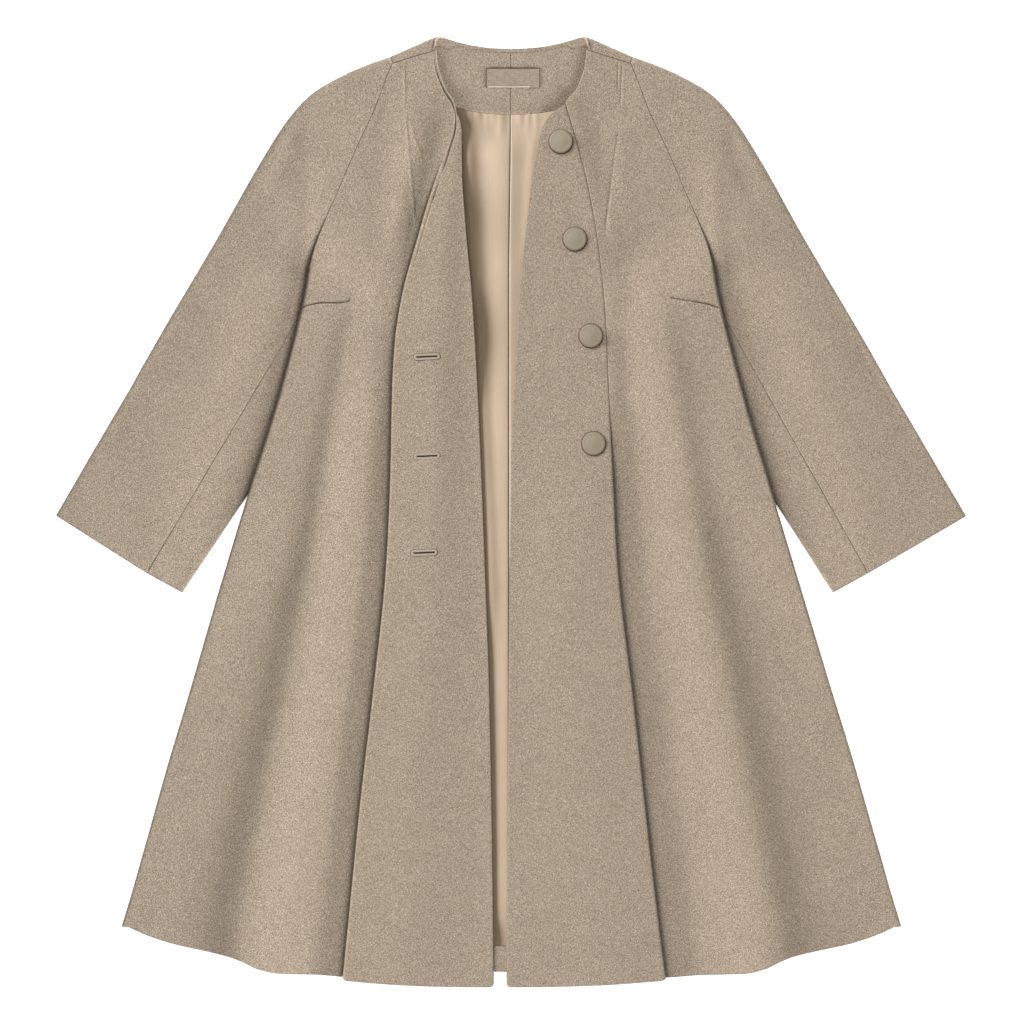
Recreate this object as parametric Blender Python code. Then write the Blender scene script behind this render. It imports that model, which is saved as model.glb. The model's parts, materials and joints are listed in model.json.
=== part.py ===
# A swing coat laid flat with its front up.
# X runs across (the wearer's left at +X), Y up to the neck, Z up from the surface it lies on.
# Sizes are in millimetres, and go to metres when a piece is built.
# A drop is measured down from the highest neck point, and MIDDLE is the drop at Y = 0.
# An across is measured out from the centre line.

from collections import namedtuple
from math import atan2, cos, exp, hypot, pi, radians, sin

import bpy
import bmesh

# Driving sizes
MIDDLE = 499.1
WOOL = 2.4
SATIN = 1.0
FACING = 2.0
LABEL = 0.6
SEAM = 0.3
REST = WOOL / 2
EDGE_ROLL = 3.0
FRONT_LEVEL = REST + 2 * EDGE_ROLL
INSET = REST + EDGE_ROLL
INNER_LAYER = WOOL + SEAM
SIDE_GAP = 2.0

# Neck and shoulder, as (across, drop)
NECK_HALF = 76.2
NECK_DEPTH = 13.6
SHOULDER_TIP = (127.0, 22.2)
SHOULDER_SEAM = ((79.0, 13.5), (125.2, 27.8))
FACING_HALF = 92.0
FACING_DEPTH = 81.0
FACING_CORNER = (56.0, 66.0)
FACING_CORNER_INSET = 6.5
LABEL_SIZE = (55.7, 20.5)
LABEL_CENTRE = (1.6, 43.0)

# Sleeves, as (across, drop)
ARMPIT = (163.0, 309.0)
CUFF_OUTER = (476.5, 501.5)
CUFF_SEAM = (377.5, 561.0)
CUFF_INNER = (341.0, 582.0)
SLEEVE_LOFT = 3.6
TUCKED_LEVEL = 4.7
BODY_LIFT = 6.9

# Hems
BACK_HEM = 983.0
SIDE_HEM = 933.0
HEM_HALF = 407.0
TURN_UP = 27.5
TURN_UP_HALF = 385.0
PANEL_HEM = (990.5, 998.5)

# Pleats beside the front panels
PLEAT_STEP = WOOL + 0.5
PLEAT_RADIUS = PLEAT_STEP / 2
PLEAT_DEPTH = 38.0
FLUSH_RISE = 2.0
OPEN_EDGE_LEVEL = 7.8

# Buttons and buttonholes, as (x, drop)
BUTTON_SPOTS = ((51.9, 110.1), (66.6, 212.4), (83.3, 314.1), (86.2, 427.2))
BUTTONHOLE_SPOTS = ((-88.5, 336.3), (-88.5, 440.4), (-91.4, 541.7))
BUTTONHOLE = (22.0, 1.6)
BUTTONHOLE_FLOOR = 11.5

RIGHT = -1
LEFT = 1
NAMES = {RIGHT: "right", LEFT: "left"}
# The right sleeve lies a little narrower at its cuff than the left.
CUFF_SHIFT = {RIGHT: 4.2, LEFT: -4.0}

Edge = namedtuple("Edge", "drop across")
Row = namedtuple("Row", "inner outer roll")
Ridge = namedtuple("Ridge", "place inner_width outer_width height")
Gather = namedtuple("Gather", "x width height length")
Turned = namedtuple("Turned", "radius height")

RAGLAN = [
    Edge(27.8, 125.2), Edge(44, 132), Edge(74, 143), Edge(103, 156.5), Edge(128, 168), Edge(160, 181.5),
    Edge(193, 196), Edge(220, 206), Edge(243, 212), Edge(258, 215), Edge(272, 217.5),
]
SIDE_EDGE = [
    Edge(288, 221), Edge(325, 230), Edge(402, 251), Edge(474, 273), Edge(558, 298),
    Edge(656, 327), Edge(766, 359.5), Edge(933, 407),
]
OVERARM = [
    Edge(22.2, 127), Edge(31, 152), Edge(40, 173), Edge(60, 208), Edge(86, 232.5),
    Edge(125, 258), Edge(209, 307), Edge(343, 387.5), Edge(501.5, 476.5),
]
NECKLINE = [
    Edge(13.5, 79), Edge(31, 77), Edge(41, 74), Edge(56, 68), Edge(67, 61), Edge(76, 59),
]
PANEL_FOLD = {
    RIGHT: [
        Edge(76, 59.5), Edge(103, 65), Edge(123, 71), Edge(139, 76.2), Edge(172, 87), Edge(210, 98),
        Edge(271, 114.5), Edge(319, 122), Edge(366, 125), Edge(459, 127), Edge(549, 131),
        Edge(696, 146), Edge(803, 158.5), Edge(897, 168), Edge(996, 178),
    ],
    LEFT: [
        Edge(70, 57), Edge(111, 69), Edge(154, 80), Edge(223, 92), Edge(295, 99), Edge(371, 102.5),
        Edge(450, 106), Edge(549, 111), Edge(696, 128), Edge(858, 146), Edge(996, 163),
    ],
}
# An across below 0 is past the centre line.
FRONT_EDGE = {
    RIGHT: [
        Edge(90, 52.5), Edge(139, 52), Edge(199, 48), Edge(276, 41), Edge(389, 34.5),
        Edge(549, 28), Edge(696, 23), Edge(857, 20), Edge(1000, 18.3),
    ],
    LEFT: [
        Edge(104, 30.5), Edge(139, 23), Edge(191, 16.5), Edge(255, 9.5), Edge(328, 5),
        Edge(432, 0), Edge(549, -2), Edge(784, -3.7), Edge(1000, -5.3),
    ],
}
PANEL_TOP_BOW = {RIGHT: 0.0, LEFT: 9.0}
FRONT_HEM = [
    Edge(988, 120), Edge(988, 160), Edge(986, 193), Edge(983.5, 245), Edge(978, 267), Edge(971, 281),
    Edge(966, 294), Edge(961, 317), Edge(954, 351), Edge(944, 383), Edge(933, 407),
]
LINING_EDGE = [Edge(60, 92), Edge(450, 95), Edge(960, 200)]
LINING_ROWS = (0, 12, 26, 44, 70, 140, 370, 620, 877)
LINING_PLACES = (0, 3.5, 7, 10.5, 14, 18, 22, 26, 30, 34, 38, 42, 46, 50, 54, 60)
GATHERS = [
    Gather(-47, 4.5, 1.4, 60), Gather(-36, 4.0, 1.2, 45), Gather(-25, 4.5, 1.5, 70),
    Gather(-10, 4.0, 1.0, 40), Gather(11, 4.5, 1.2, 55), Gather(23, 4.0, 1.0, 45),
]

# Rows of the body: the drop at the panel, the drop at the side, and how far the side is rolled under.
BODY_ROWS = [
    Row(13.5, 27.8, 0), Row(38, 44, 0), Row(70, 74, 0), Row(96, 103, 0), Row(124, 128, 0),
    Row(160, 160, 0), Row(196, 193, 0), Row(228, 220, 0), Row(254, 243, 0.25), Row(274, 258, 0.6),
    Row(292, 272, 1), Row(312, 290, 1), Row(346, 325, 1), Row(390, 364, 1), Row(432, 402, 1),
    Row(486, 450, 1), Row(540, 498, 1), Row(606, 558, 1), Row(676, 620, 1), Row(752, 690, 1),
    Row(832, 766, 1), Row(912, 850, 1), Row(988, 933, 1),
]
# The skirt's ridge and the soft hollow by the pleat, as shares of the way from the pleat to the side.
RIDGES = [Ridge(0.47, 0.19, 0.13, 0.054), Ridge(0.14, 0.07, 0.07, -0.006)]
RIDGE_GAIN = {RIGHT: 1.0, LEFT: 0.85}
HEM_BEND_START = 740

ROLL_STEPS = 6
PLEAT_STEPS = 4
SIDE_COLUMNS = (0, 0.10, 0.20, 0.28, 0.35, 0.41, 0.455, 0.50, 0.55, 0.60, 0.67, 0.78, 0.90, 1)
BACK_COLUMNS = (0, 0.14, 0.28, 0.42, 0.52, 0.57, 0.598, 0.64, 0.68, 0.74, 0.80, 0.87, 0.94, 1)
ROLL_ONTO_SHOULDER = {0.57: 0.3, 0.598: 0.55}
PANEL_COLUMNS = (0, 0.14, 0.30, 0.44, 0.58, 0.72, 0.86, 0.96, 1)
SLEEVE_ROWS = (0, 0.05, 0.10, 0.16, 0.23, 0.31, 0.40, 0.50, 0.60, 0.70, 0.80, 0.90, 0.96, 1)
UNDER_COLUMNS = (0, 0.2, 0.4, 0.6, 0.8, 1)
SLEEVE_START = 0.001


# Curves

def mix(low, high, share):
    return low + (high - low) * share


def mix_points(start, end, share):
    return tuple(mix(a, b, share) for a, b in zip(start, end))


def ease(share):
    share = min(max(share, 0.0), 1.0)
    return share * share * (3 - 2 * share)


def follow(edges, at, key="drop", value="across"):
    """The value beside a drop, on a smooth curve through an edge's rows that never overshoots them."""
    knots = sorted((getattr(edge, key), getattr(edge, value)) for edge in edges)
    at = min(max(at, knots[0][0]), knots[-1][0])
    first = 0
    while first < len(knots) - 2 and at > knots[first + 1][0]:
        first += 1

    def tangent(index):
        near = max(min(index, len(knots) - 2), 1)
        slopes = [(b[1] - a[1]) / (b[0] - a[0]) for a, b in zip(knots[near - 1:], knots[near:near + 2])]
        if index == 0:
            return slopes[0]
        if index == len(knots) - 1:
            return slopes[-1]
        if slopes[0] * slopes[1] <= 0:
            return 0.0
        return 2 * slopes[0] * slopes[1] / (slopes[0] + slopes[1])

    (x0, y0), (x1, y1) = knots[first], knots[first + 1]
    share = (at - x0) / (x1 - x0)
    straight = y1 - y0
    lean = (1 - share) * (tangent(first) * (x1 - x0) - straight)
    lean -= share * (tangent(first + 1) * (x1 - x0) - straight)
    return y0 + straight * share + share * (1 - share) * lean


def side_edge(drop):
    """The body's outer edge: the raglan seam, then the side."""
    return follow(RAGLAN + SIDE_EDGE, drop)


def line_of(edges, steps=60):
    """Evenly spread points (across, drop) along an edge."""
    first, last = edges[0].drop, edges[-1].drop
    drops = [mix(first, last, step / steps) for step in range(steps + 1)]
    return [(follow(edges, drop), drop) for drop in drops]


def along(points, share):
    """The point at a share of a line's length."""
    lengths = [hypot(b[0] - a[0], b[1] - a[1]) for a, b in zip(points, points[1:])]
    left = share * sum(lengths)
    for start, end, length in zip(points, points[1:], lengths):
        if left <= length:
            return mix_points(start, end, left / length)
        left -= length
    return points[-1]


def towards(start, end, distance):
    """The point at a distance from the start on the way to the end."""
    return mix_points(start, end, distance / hypot(end[0] - start[0], end[1] - start[1]))


def point(across, drop, level):
    return (across, MIDDLE - drop, level)


def turned(low, high, steps):
    """A half turn from a lower layer up to a higher one: how far out and how high each step lies."""
    radius = (high - low) / 2
    turns = [pi * step / steps for step in range(steps + 1)]
    return [Turned(radius * sin(turn), low + radius * (1 - cos(turn))) for turn in turns]


# Levels: the height of the middle of each layer of cloth

def over_sleeve(across, drop):
    """How far the sleeve tucked under the body lifts it, with gentle slopes off the sleeve's folds."""
    fold = (CUFF_INNER[0] - ARMPIT[0], CUFF_INNER[1] - ARMPIT[1])
    past_fold = ((across - ARMPIT[0]) * fold[1] - (drop - ARMPIT[1]) * fold[0]) / hypot(*fold)
    corner = RAGLAN[-1]
    top = (corner.across - ARMPIT[0], ARMPIT[1] - corner.drop)
    past_top = ((across - corner.across) * top[1] + (drop - corner.drop) * top[0]) / hypot(*top)
    return BODY_LIFT * ease((past_fold + 48) / 40) * ease((past_top + 42) / 34)


def pleat_lift(side, drop):
    """How far the pleat stands up: all the way on the right, and only below the bust on the left."""
    return 1.0 if side == RIGHT else ease((drop - 300) / 125)


def panel_width(side, drop):
    return follow(PANEL_FOLD[side], drop) - follow(FRONT_EDGE[side], drop)


def pleat_depth(side, drop):
    return min(PLEAT_DEPTH, 0.45 * panel_width(side, drop))


def return_depth(side, drop):
    """How far the cloth turned under at the pleat runs back under the panel."""
    depth = max(pleat_depth(side, drop), 2.0)
    return depth if side == RIGHT else mix(8.0, depth, ease((drop - 400) / 160))


def underlap(side, drop):
    """How far the side front runs under the panel. Where they only meet, it stops a seam short."""
    depth = pleat_depth(side, drop) + 2.0
    if side == RIGHT:
        return depth * ease((drop - 72) / 14)
    return mix(-SEAM, depth, ease((drop - 433) / 150))


def fold_level(side, drop):
    lift = pleat_lift(side, drop)
    level = FRONT_LEVEL + over_sleeve(follow(PANEL_FOLD[side], drop), drop)
    return level + 2 * PLEAT_STEP * lift + FLUSH_RISE * (1 - lift)


def panel_level(side, across, drop):
    width = panel_width(side, drop)
    depth = return_depth(side, drop) + 3
    high = fold_level(side, drop)
    low = max(OPEN_EDGE_LEVEL, high - 0.16 * max(width - depth, 0))
    inside = follow(PANEL_FOLD[side], drop) - across
    return mix(high, low, ease((inside - depth) / max(width - depth, 1)))


def front_level(side, across, drop):
    """The side front, with the skirt's ridge, its rise to the flush seam, and the sleeve under it."""
    fold = follow(PANEL_FOLD[side], drop)
    edge = side_edge(drop)
    width = edge - fold
    share = (across - fold) / width
    grown = RIDGE_GAIN[side] * ease((drop - 190) / 150) * ease((edge - INSET - across) / 25)
    level = FRONT_LEVEL + over_sleeve(across, drop)
    for ridge in RIDGES:
        reach = ridge.outer_width if share > ridge.place else ridge.inner_width
        level += ridge.height * width * grown * exp(-((share - ridge.place) / reach) ** 2)
    flush = (1 - pleat_lift(side, drop)) * ease((drop - 40) / 30)
    return level + FLUSH_RISE * flush * (1 - ease((across - fold) / 30))


def lining_level(x, below_facing):
    level = INNER_LAYER + SATIN / 2
    for gather in GATHERS:
        bump = gather.height * exp(-((x - gather.x) / gather.width) ** 2)
        level += bump * (1 - ease(below_facing / gather.length))
    return level


# Building

def clear_scene():
    for item in list(bpy.data.objects):
        bpy.data.objects.remove(item, do_unlink=True)


def finish(name, colour, roughness):
    material = bpy.data.materials.new(name)
    material.use_nodes = True
    shader = material.node_tree.nodes["Principled BSDF"]
    shader.inputs["Base Color"].default_value = (*colour, 1)
    shader.inputs["Roughness"].default_value = roughness
    shader.inputs["Metallic"].default_value = 0
    return material


def add(name, mesh, material):
    mesh.materials.append(material)
    mesh.shade_smooth()
    mesh.set_sharp_from_angle(angle=radians(50))
    piece = bpy.data.objects.new(name, mesh)
    bpy.context.collection.objects.link(piece)
    return piece


def cloth(name, rows, material, thickness=WOOL):
    """A wall of cloth with the rows of points in its middle."""
    columns = len(rows[0])
    vertices = [tuple(size / 1000 for size in spot) for row in rows for spot in row]
    faces = [
        (i * columns + j, (i + 1) * columns + j, (i + 1) * columns + j + 1, i * columns + j + 1)
        for i in range(len(rows) - 1)
        for j in range(columns - 1)
    ]
    mesh = bpy.data.meshes.new(name)
    mesh.from_pydata(vertices, [], faces)
    piece = add(name, mesh, material)
    wall = piece.modifiers.new("Wall", "SOLIDIFY")
    wall.thickness = thickness / 1000
    wall.offset = 0
    return piece


def on_side(side, rows):
    """Rows drawn for the wearer's left, put on a side with their faces still pointing up."""
    placed = [[(side * x, y, z) for x, y, z in row] for row in rows]
    return placed if side == LEFT else [row[::-1] for row in placed]


# Fronts

def hem_shift(across, share, bend):
    """How far the hem's curve moves a point that would lie on a straight line to the side."""
    straight = mix(BODY_ROWS[-1].inner, BODY_ROWS[-1].outer, share)
    return bend * (follow(FRONT_HEM, across, "across", "drop") - straight)


def side_front_start(side, drop):
    """The side front's inner edge and the line where it comes out from under the panel."""
    if drop < 70:
        edge = follow(NECKLINE, drop)
        return edge, edge
    fold = follow(PANEL_FOLD[side], max(drop, PANEL_FOLD[side][0].drop))
    return fold - underlap(side, drop), fold


def side_front(side, material):
    rows = []
    for row in BODY_ROWS:
        inner, fold = side_front_start(side, row.inner)
        outer = side_edge(row.outer)
        reach = outer - INSET
        start = max(fold, inner + 3)
        bend = ease((row.inner - HEM_BEND_START) / (BODY_ROWS[-1].inner - HEM_BEND_START)) ** 2
        line = []
        for across in [inner, mix(inner, start, 0.5)] + [mix(start, reach, place) for place in SIDE_COLUMNS]:
            share = (across - inner) / (outer - inner)
            drop = mix(row.inner, row.outer, share) + hem_shift(across, share, bend)
            line.append((across, drop, front_level(side, across, drop)))
        across, drop, level = line[-1]
        bottom = over_sleeve(outer, row.outer) + REST
        radius = (level - bottom) / 2
        flat = (INSET - SEAM / 2) * (1 - row.roll) ** 2.4
        side_drop = mix(row.outer, drop, row.roll)
        for step in range(1, ROLL_STEPS + 1):
            share = step / ROLL_STEPS
            turn = pi * row.roll * share
            out = flat * share + radius * sin(turn)
            line.append((across + out, mix(drop, side_drop, share), level - radius * (1 - cos(turn))))
        rows.append([point(*spot) for spot in line])
    return cloth("side_front_" + NAMES[side], on_side(side, rows), material)


def front_panel(side, material):
    top_fold = PANEL_FOLD[side][0].drop
    top_gap = FRONT_EDGE[side][0].drop - top_fold
    rows = []
    for row in BODY_ROWS[2:]:
        fold_drop = max(row.inner, top_fold)
        fade = max(1 - (fold_drop - top_fold) / 260, 0) ** 2
        front_drop = fold_drop + top_gap * fade
        fold = follow(PANEL_FOLD[side], fold_drop)
        front = follow(FRONT_EDGE[side], front_drop)
        last = ease((fold_drop - HEM_BEND_START) / (BODY_ROWS[-1].inner - HEM_BEND_START)) ** 2
        centre = fold - REST - PLEAT_RADIUS
        depth = return_depth(side, fold_drop)
        high = fold_level(side, fold_drop)

        def drop_at(across):
            share = (fold - across) / (fold - front)
            bow = -4 * PANEL_TOP_BOW[side] * fade * share * (1 - share)
            hem = mix(PANEL_HEM[0], PANEL_HEM[1], 1 - (1 - min(share, 1)) ** 2) - BODY_ROWS[-1].inner
            return mix(fold_drop, front_drop, share) + bow + last * hem

        line = [(centre - depth * share, high - PLEAT_STEP) for share in (1, 0.5)]
        line += [(centre + turn.radius, turn.height) for turn in turned(high - PLEAT_STEP, high, PLEAT_STEPS)]
        for place in PANEL_COLUMNS[1:]:
            across = mix(centre, front, place)
            line.append((across, panel_level(side, across, fold_drop)))
        line.reverse()
        rows.append([point(across, drop_at(across), level) for across, level in line])
    return cloth("front_panel_" + NAMES[side], on_side(side, rows), material)


def cut_buttonholes(panel):
    for number, (x, drop) in enumerate(BUTTONHOLE_SPOTS, start=1):
        height = 20.0
        mesh = bpy.data.meshes.new("buttonhole_cutter_%d" % number)
        shape = bmesh.new()
        bmesh.ops.create_cube(shape, size=1)
        size = (BUTTONHOLE[0] / 1000, BUTTONHOLE[1] / 1000, height / 1000)
        bmesh.ops.scale(shape, vec=size, verts=shape.verts)
        shape.to_mesh(mesh)
        shape.free()
        cutter = bpy.data.objects.new(mesh.name, mesh)
        bpy.context.collection.objects.link(cutter)
        spot = point(x, drop, BUTTONHOLE_FLOOR + height / 2)
        cutter.location = [size / 1000 for size in spot]
        cutter.hide_render = True
        cutter.display_type = "WIRE"
        cut = panel.modifiers.new("Buttonhole %d" % number, "BOOLEAN")
        cut.operation = "DIFFERENCE"
        cut.solver = "EXACT"
        cut.object = cutter


# Back

def neck_drop(across):
    return NECK_DEPTH * (1 - (abs(across) / NECK_HALF) ** 2.2)


def back_hem_drop(across):
    return BACK_HEM - (BACK_HEM - SIDE_HEM) * (across / HEM_HALF) ** 2


def back_top(column):
    """The top of the back: its edge, the way in from it, and how far it is rolled over the shoulder."""
    across = SHOULDER_TIP[0] * column
    neck_end = NECK_HALF / SHOULDER_TIP[0]
    if column < neck_end:
        edge = (across, neck_drop(across))
        return edge, (across, edge[1] + SHOULDER_SEAM[0][1]), ROLL_ONTO_SHOULDER.get(column, 0.0)
    share = (column - neck_end) / (1 - neck_end)
    edge = (across, mix(0, SHOULDER_TIP[1], share))
    return edge, mix_points(*SHOULDER_SEAM, share), 1.0


def back(side, material):
    rows = []
    tops = [back_top(column) for column in BACK_COLUMNS]
    for step in range(ROLL_STEPS + 2, -1, -1):
        arc = min(step, ROLL_STEPS) / ROLL_STEPS
        run = max(step - ROLL_STEPS, 0) / 2
        line = []
        for edge, seam, roll in tops:
            length = hypot(seam[0] - edge[0], seam[1] - edge[1]) - INSET - SEAM / 2
            turn = pi * roll * arc
            out = INSET * (1 - roll) ** 2.4 * (0.9 * arc + 0.1 * run) + EDGE_ROLL * sin(turn)
            past = length * run * roll ** 3
            inwards = INSET - out - past * cos(turn)
            level = REST + EDGE_ROLL * (1 - cos(turn)) + past * sin(turn)
            line.append(point(*towards(edge, seam, inwards), level))
        rows.append(line)
    first = BODY_ROWS[0].outer
    for row in BODY_ROWS[1:]:
        centre = mix(NECK_DEPTH, BACK_HEM, (row.outer - first) / (SIDE_HEM - first))
        outer = side_edge(row.outer) - mix(SEAM / 2, INSET + SIDE_GAP, row.roll)
        fade = 1 - ease((row.outer - first) / 180)
        bend = ease((row.inner - HEM_BEND_START) / (BODY_ROWS[-1].inner - HEM_BEND_START)) ** 2
        line = []
        for column, (edge, _, _) in zip(BACK_COLUMNS, tops):
            across = mix(SEAM / 2, outer, column)
            bow = fade * (edge[1] - mix(NECK_DEPTH, SHOULDER_TIP[1], column))
            hem = bend * (back_hem_drop(across) - mix(BACK_HEM, SIDE_HEM, column))
            drop = mix(centre, row.outer, column) + bow + hem
            line.append(point(across, drop, over_sleeve(across, drop) + REST))
        rows.append(line)
    for line in rows:
        line[0] = (SEAM / 2, *line[0][1:])
    return cloth("back_" + NAMES[side], on_side(side, rows), material)


def facing_edge(across):
    return FACING_DEPTH - 7.5 * (across / 58) ** 2


def back_neck_facing(material):
    columns = [FACING_HALF * step / 12 for step in range(-12, 13)]
    rows = []
    for share in (0, 0.33, 0.67, 1):
        line = []
        for x in columns:
            past_neck = max(abs(x) - NECK_HALF, 0) / (SHOULDER_TIP[0] - NECK_HALF)
            top = neck_drop(min(abs(x), NECK_HALF)) + SHOULDER_TIP[1] * past_neck + 1
            corner = (abs(x) - FACING_CORNER[0]) / (FACING_CORNER[1] - FACING_CORNER[0])
            top += FACING_CORNER_INSET * ease(corner)
            line.append(point(x, mix(top, facing_edge(x), share), INNER_LAYER + FACING / 2))
        rows.append(line)
    return cloth("back_neck_facing", rows, material, FACING)


def back_neck_label(material):
    level = INNER_LAYER + FACING + SEAM + LABEL / 2
    across, drop = LABEL_CENTRE
    rows = [
        [point(across + a * LABEL_SIZE[0] / 2, drop + b * LABEL_SIZE[1] / 2, level) for a in (-1, 1)]
        for b in (-1, 1)
    ]
    return cloth("back_neck_label", rows, material, LABEL)


def centre_back_line(drop):
    """The lining's centre line drifts a little to the wearer's right."""
    return mix(-1.0, -2.6, ease((drop - 90) / 170))


def back_lining(side, material):
    rows = []
    for below in LINING_ROWS:
        share = below / LINING_ROWS[-1]
        line = []
        centre_drop = FACING_DEPTH + below
        inner = side * centre_back_line(centre_drop) + SEAM / 2
        outer = follow(LINING_EDGE, centre_drop)
        for across in [inner + place for place in LINING_PLACES] + [mix(inner + 60, outer, 0.5), outer]:
            top = facing_edge(across) + SEAM
            bottom = back_hem_drop(across) - TURN_UP - SEAM
            drop = mix(top, bottom, share)
            line.append(point(across, drop, lining_level(side * across, drop - top)))
        rows.append(line)
    return cloth("back_lining_" + NAMES[side], on_side(side, rows), material, SATIN)


def back_hem_turn_up(material):
    rows = []
    for depth in (TURN_UP, TURN_UP / 2, 0.5):
        columns = [TURN_UP_HALF * step / 14 for step in range(-14, 15)]
        rows.append([point(x, back_hem_drop(x) - depth, INNER_LAYER + FACING / 2) for x in columns])
    return cloth("back_hem_turn_up", rows, material, FACING)


# Sleeves

def sleeve_level(across, drop, width_share, length_share):
    """The upper layer of the sleeve, rounded over its width and pressed flat under the body's side."""
    level = FRONT_LEVEL + SLEEVE_LOFT * sin(pi * width_share) * ease(length_share / 0.25)
    inside = side_edge(drop) - across
    tucked = ease((inside + 45) / 35) * ease((drop - 205) / 50)
    return mix(level, TUCKED_LEVEL, tucked)


def patch(top, bottom, inner, outer, column, row):
    """A point in the area between four edges, each given by its points at this row or column."""
    across_rows = mix_points(inner, outer, column)
    down_columns = mix_points(top[1], bottom[1], row)
    corners = mix_points(mix_points(top[0], top[2], column), mix_points(bottom[0], bottom[2], column), row)
    return tuple(a + b - c for a, b, c in zip(across_rows, down_columns, corners))


def shifted(spot, side):
    return (spot[0] + CUFF_SHIFT[side], spot[1])


def sleeve_seam(side, share):
    corner = (RAGLAN[-1].across, RAGLAN[-1].drop)
    return along([corner, (225.5, 297.0), shifted(CUFF_SEAM, side)], share)


def raglan_points():
    return [(edge.across + SEAM / 2, edge.drop) for edge in RAGLAN]


def edge_and_way_in(line, share, inwards):
    """A point on a fold and the direction from it into the sleeve."""
    here = along(line, share)
    before, after = along(line, max(share - 0.02, 0)), along(line, min(share + 0.02, 1))
    run = (after[0] - before[0], after[1] - before[1])
    size = hypot(*run)
    return here, (-inwards * run[1] / size, inwards * run[0] / size)


def sleeve_upper(side, material):
    fold_line = line_of(OVERARM)
    raglan = raglan_points()
    lengths = [0.0]
    for a, b in zip(raglan, raglan[1:]):
        lengths.append(lengths[-1] + hypot(b[0] - a[0], b[1] - a[1]))
    columns = [length / lengths[-1] for length in lengths]
    cuff_fold, way = edge_and_way_in(fold_line, 1, 1)
    cuff_start = (cuff_fold[0] + way[0] * INSET, cuff_fold[1] + way[1] * INSET)
    cuff_end = towards(shifted(CUFF_SEAM, side), CUFF_OUTER, SEAM / 2)
    rows = []
    for share in SLEEVE_ROWS:
        fold, way = edge_and_way_in(fold_line, max(share, SLEEVE_START), 1)
        start = (fold[0] + way[0] * INSET, fold[1] + way[1] * INSET)
        end = towards(sleeve_seam(side, share), fold, SEAM / 2) if share else raglan[-1]
        upper = []
        for column, top in zip(columns, raglan):
            bottom = mix_points(cuff_start, cuff_end, column)
            spot = patch((raglan[0], top, raglan[-1]), (cuff_start, bottom, cuff_end), start, end, column, share)
            upper.append((*spot, sleeve_level(*spot, 0.75 * column, share)))
        base = upper[0]
        roll = [
            (base[0] - way[0] * turn.radius, base[1] - way[1] * turn.radius, turn.height)
            for turn in turned(REST, base[2], ROLL_STEPS)[1:-1]
        ]
        lower = [(across, drop, REST) for across, drop, level in reversed(upper)]
        rows.append([point(*spot) for spot in lower + roll + upper])
    rows = [row[::-1] for row in rows]
    return cloth("sleeve_upper_" + NAMES[side], on_side(side, rows), material)


def sleeve_under(side, material):
    fold_line = [ARMPIT, shifted(CUFF_INNER, side)]
    corner = raglan_points()[-1]
    rows = []
    for share in SLEEVE_ROWS:
        fold, way = edge_and_way_in(fold_line, share, -1)
        fold_level_here = sleeve_level(*fold, 1, share)
        radius = (fold_level_here - REST) / 2
        end = (fold[0] + way[0] * (REST + radius), fold[1] + way[1] * (REST + radius))
        start = towards(sleeve_seam(side, share), fold, SEAM / 2)
        if share == 0:
            start = towards(corner, fold, SEAM)
        upper = []
        for column in UNDER_COLUMNS:
            spot = mix_points(start, end, column)
            level = sleeve_level(*spot, mix(0.75, 1, column), share)
            upper.append((*spot, mix(level, fold_level_here, ease((column - 0.6) / 0.4))))
        roll = [
            (end[0] + way[0] * turn.radius, end[1] + way[1] * turn.radius, turn.height)
            for turn in turned(fold_level_here, REST, ROLL_STEPS)[1:-1]
        ]
        lower = [(across, drop, REST) for across, drop, level in reversed(upper)]
        rows.append([point(*spot) for spot in upper + roll + lower])
    rows = [row[::-1] for row in rows]
    return cloth("sleeve_under_" + NAMES[side], on_side(side, rows), material)


# Buttons

BUTTON_PROFILE = (
    (4.0, 0), (4.0, 1.0), (11.0, 1.3), (12.2, 2.1), (12.5, 3.1), (12.1, 4.0), (10.9, 4.5), (9.6, 4.2), (5.5, 4.8),
)
BUTTON_CROWN = 5.1
BUTTON_SIDES = 24


def button(number, x, drop, material):
    """A turned button on its stem of thread, seated on the panel and tilted with it."""
    shape = bmesh.new()
    rings = []
    for radius, height in BUTTON_PROFILE:
        angles = [2 * pi * side / BUTTON_SIDES for side in range(BUTTON_SIDES)]
        spots = [(radius * cos(a) / 1000, radius * sin(a) / 1000, height / 1000) for a in angles]
        rings.append([shape.verts.new(spot) for spot in spots])
    for low, high in zip(rings, rings[1:]):
        for side in range(BUTTON_SIDES):
            after = (side + 1) % BUTTON_SIDES
            shape.faces.new((low[side], low[after], high[after], high[side]))
    shape.faces.new(rings[0][::-1])
    crown = shape.verts.new((0, 0, BUTTON_CROWN / 1000))
    for side in range(BUTTON_SIDES):
        shape.faces.new((rings[-1][side], rings[-1][(side + 1) % BUTTON_SIDES], crown))
    mesh = bpy.data.meshes.new("button_%d" % number)
    shape.to_mesh(mesh)
    shape.free()
    piece = add(mesh.name, mesh, material)
    reach = 4.0
    inner, outer = (panel_level(LEFT, x + way * reach, drop) for way in (-1, 1))
    level = max(inner, outer) + REST + SEAM
    piece.location = [size / 1000 for size in point(x, drop, level)]
    piece.rotation_euler = (0, -atan2(outer - inner, 2 * reach), 0)
    return piece


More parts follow.
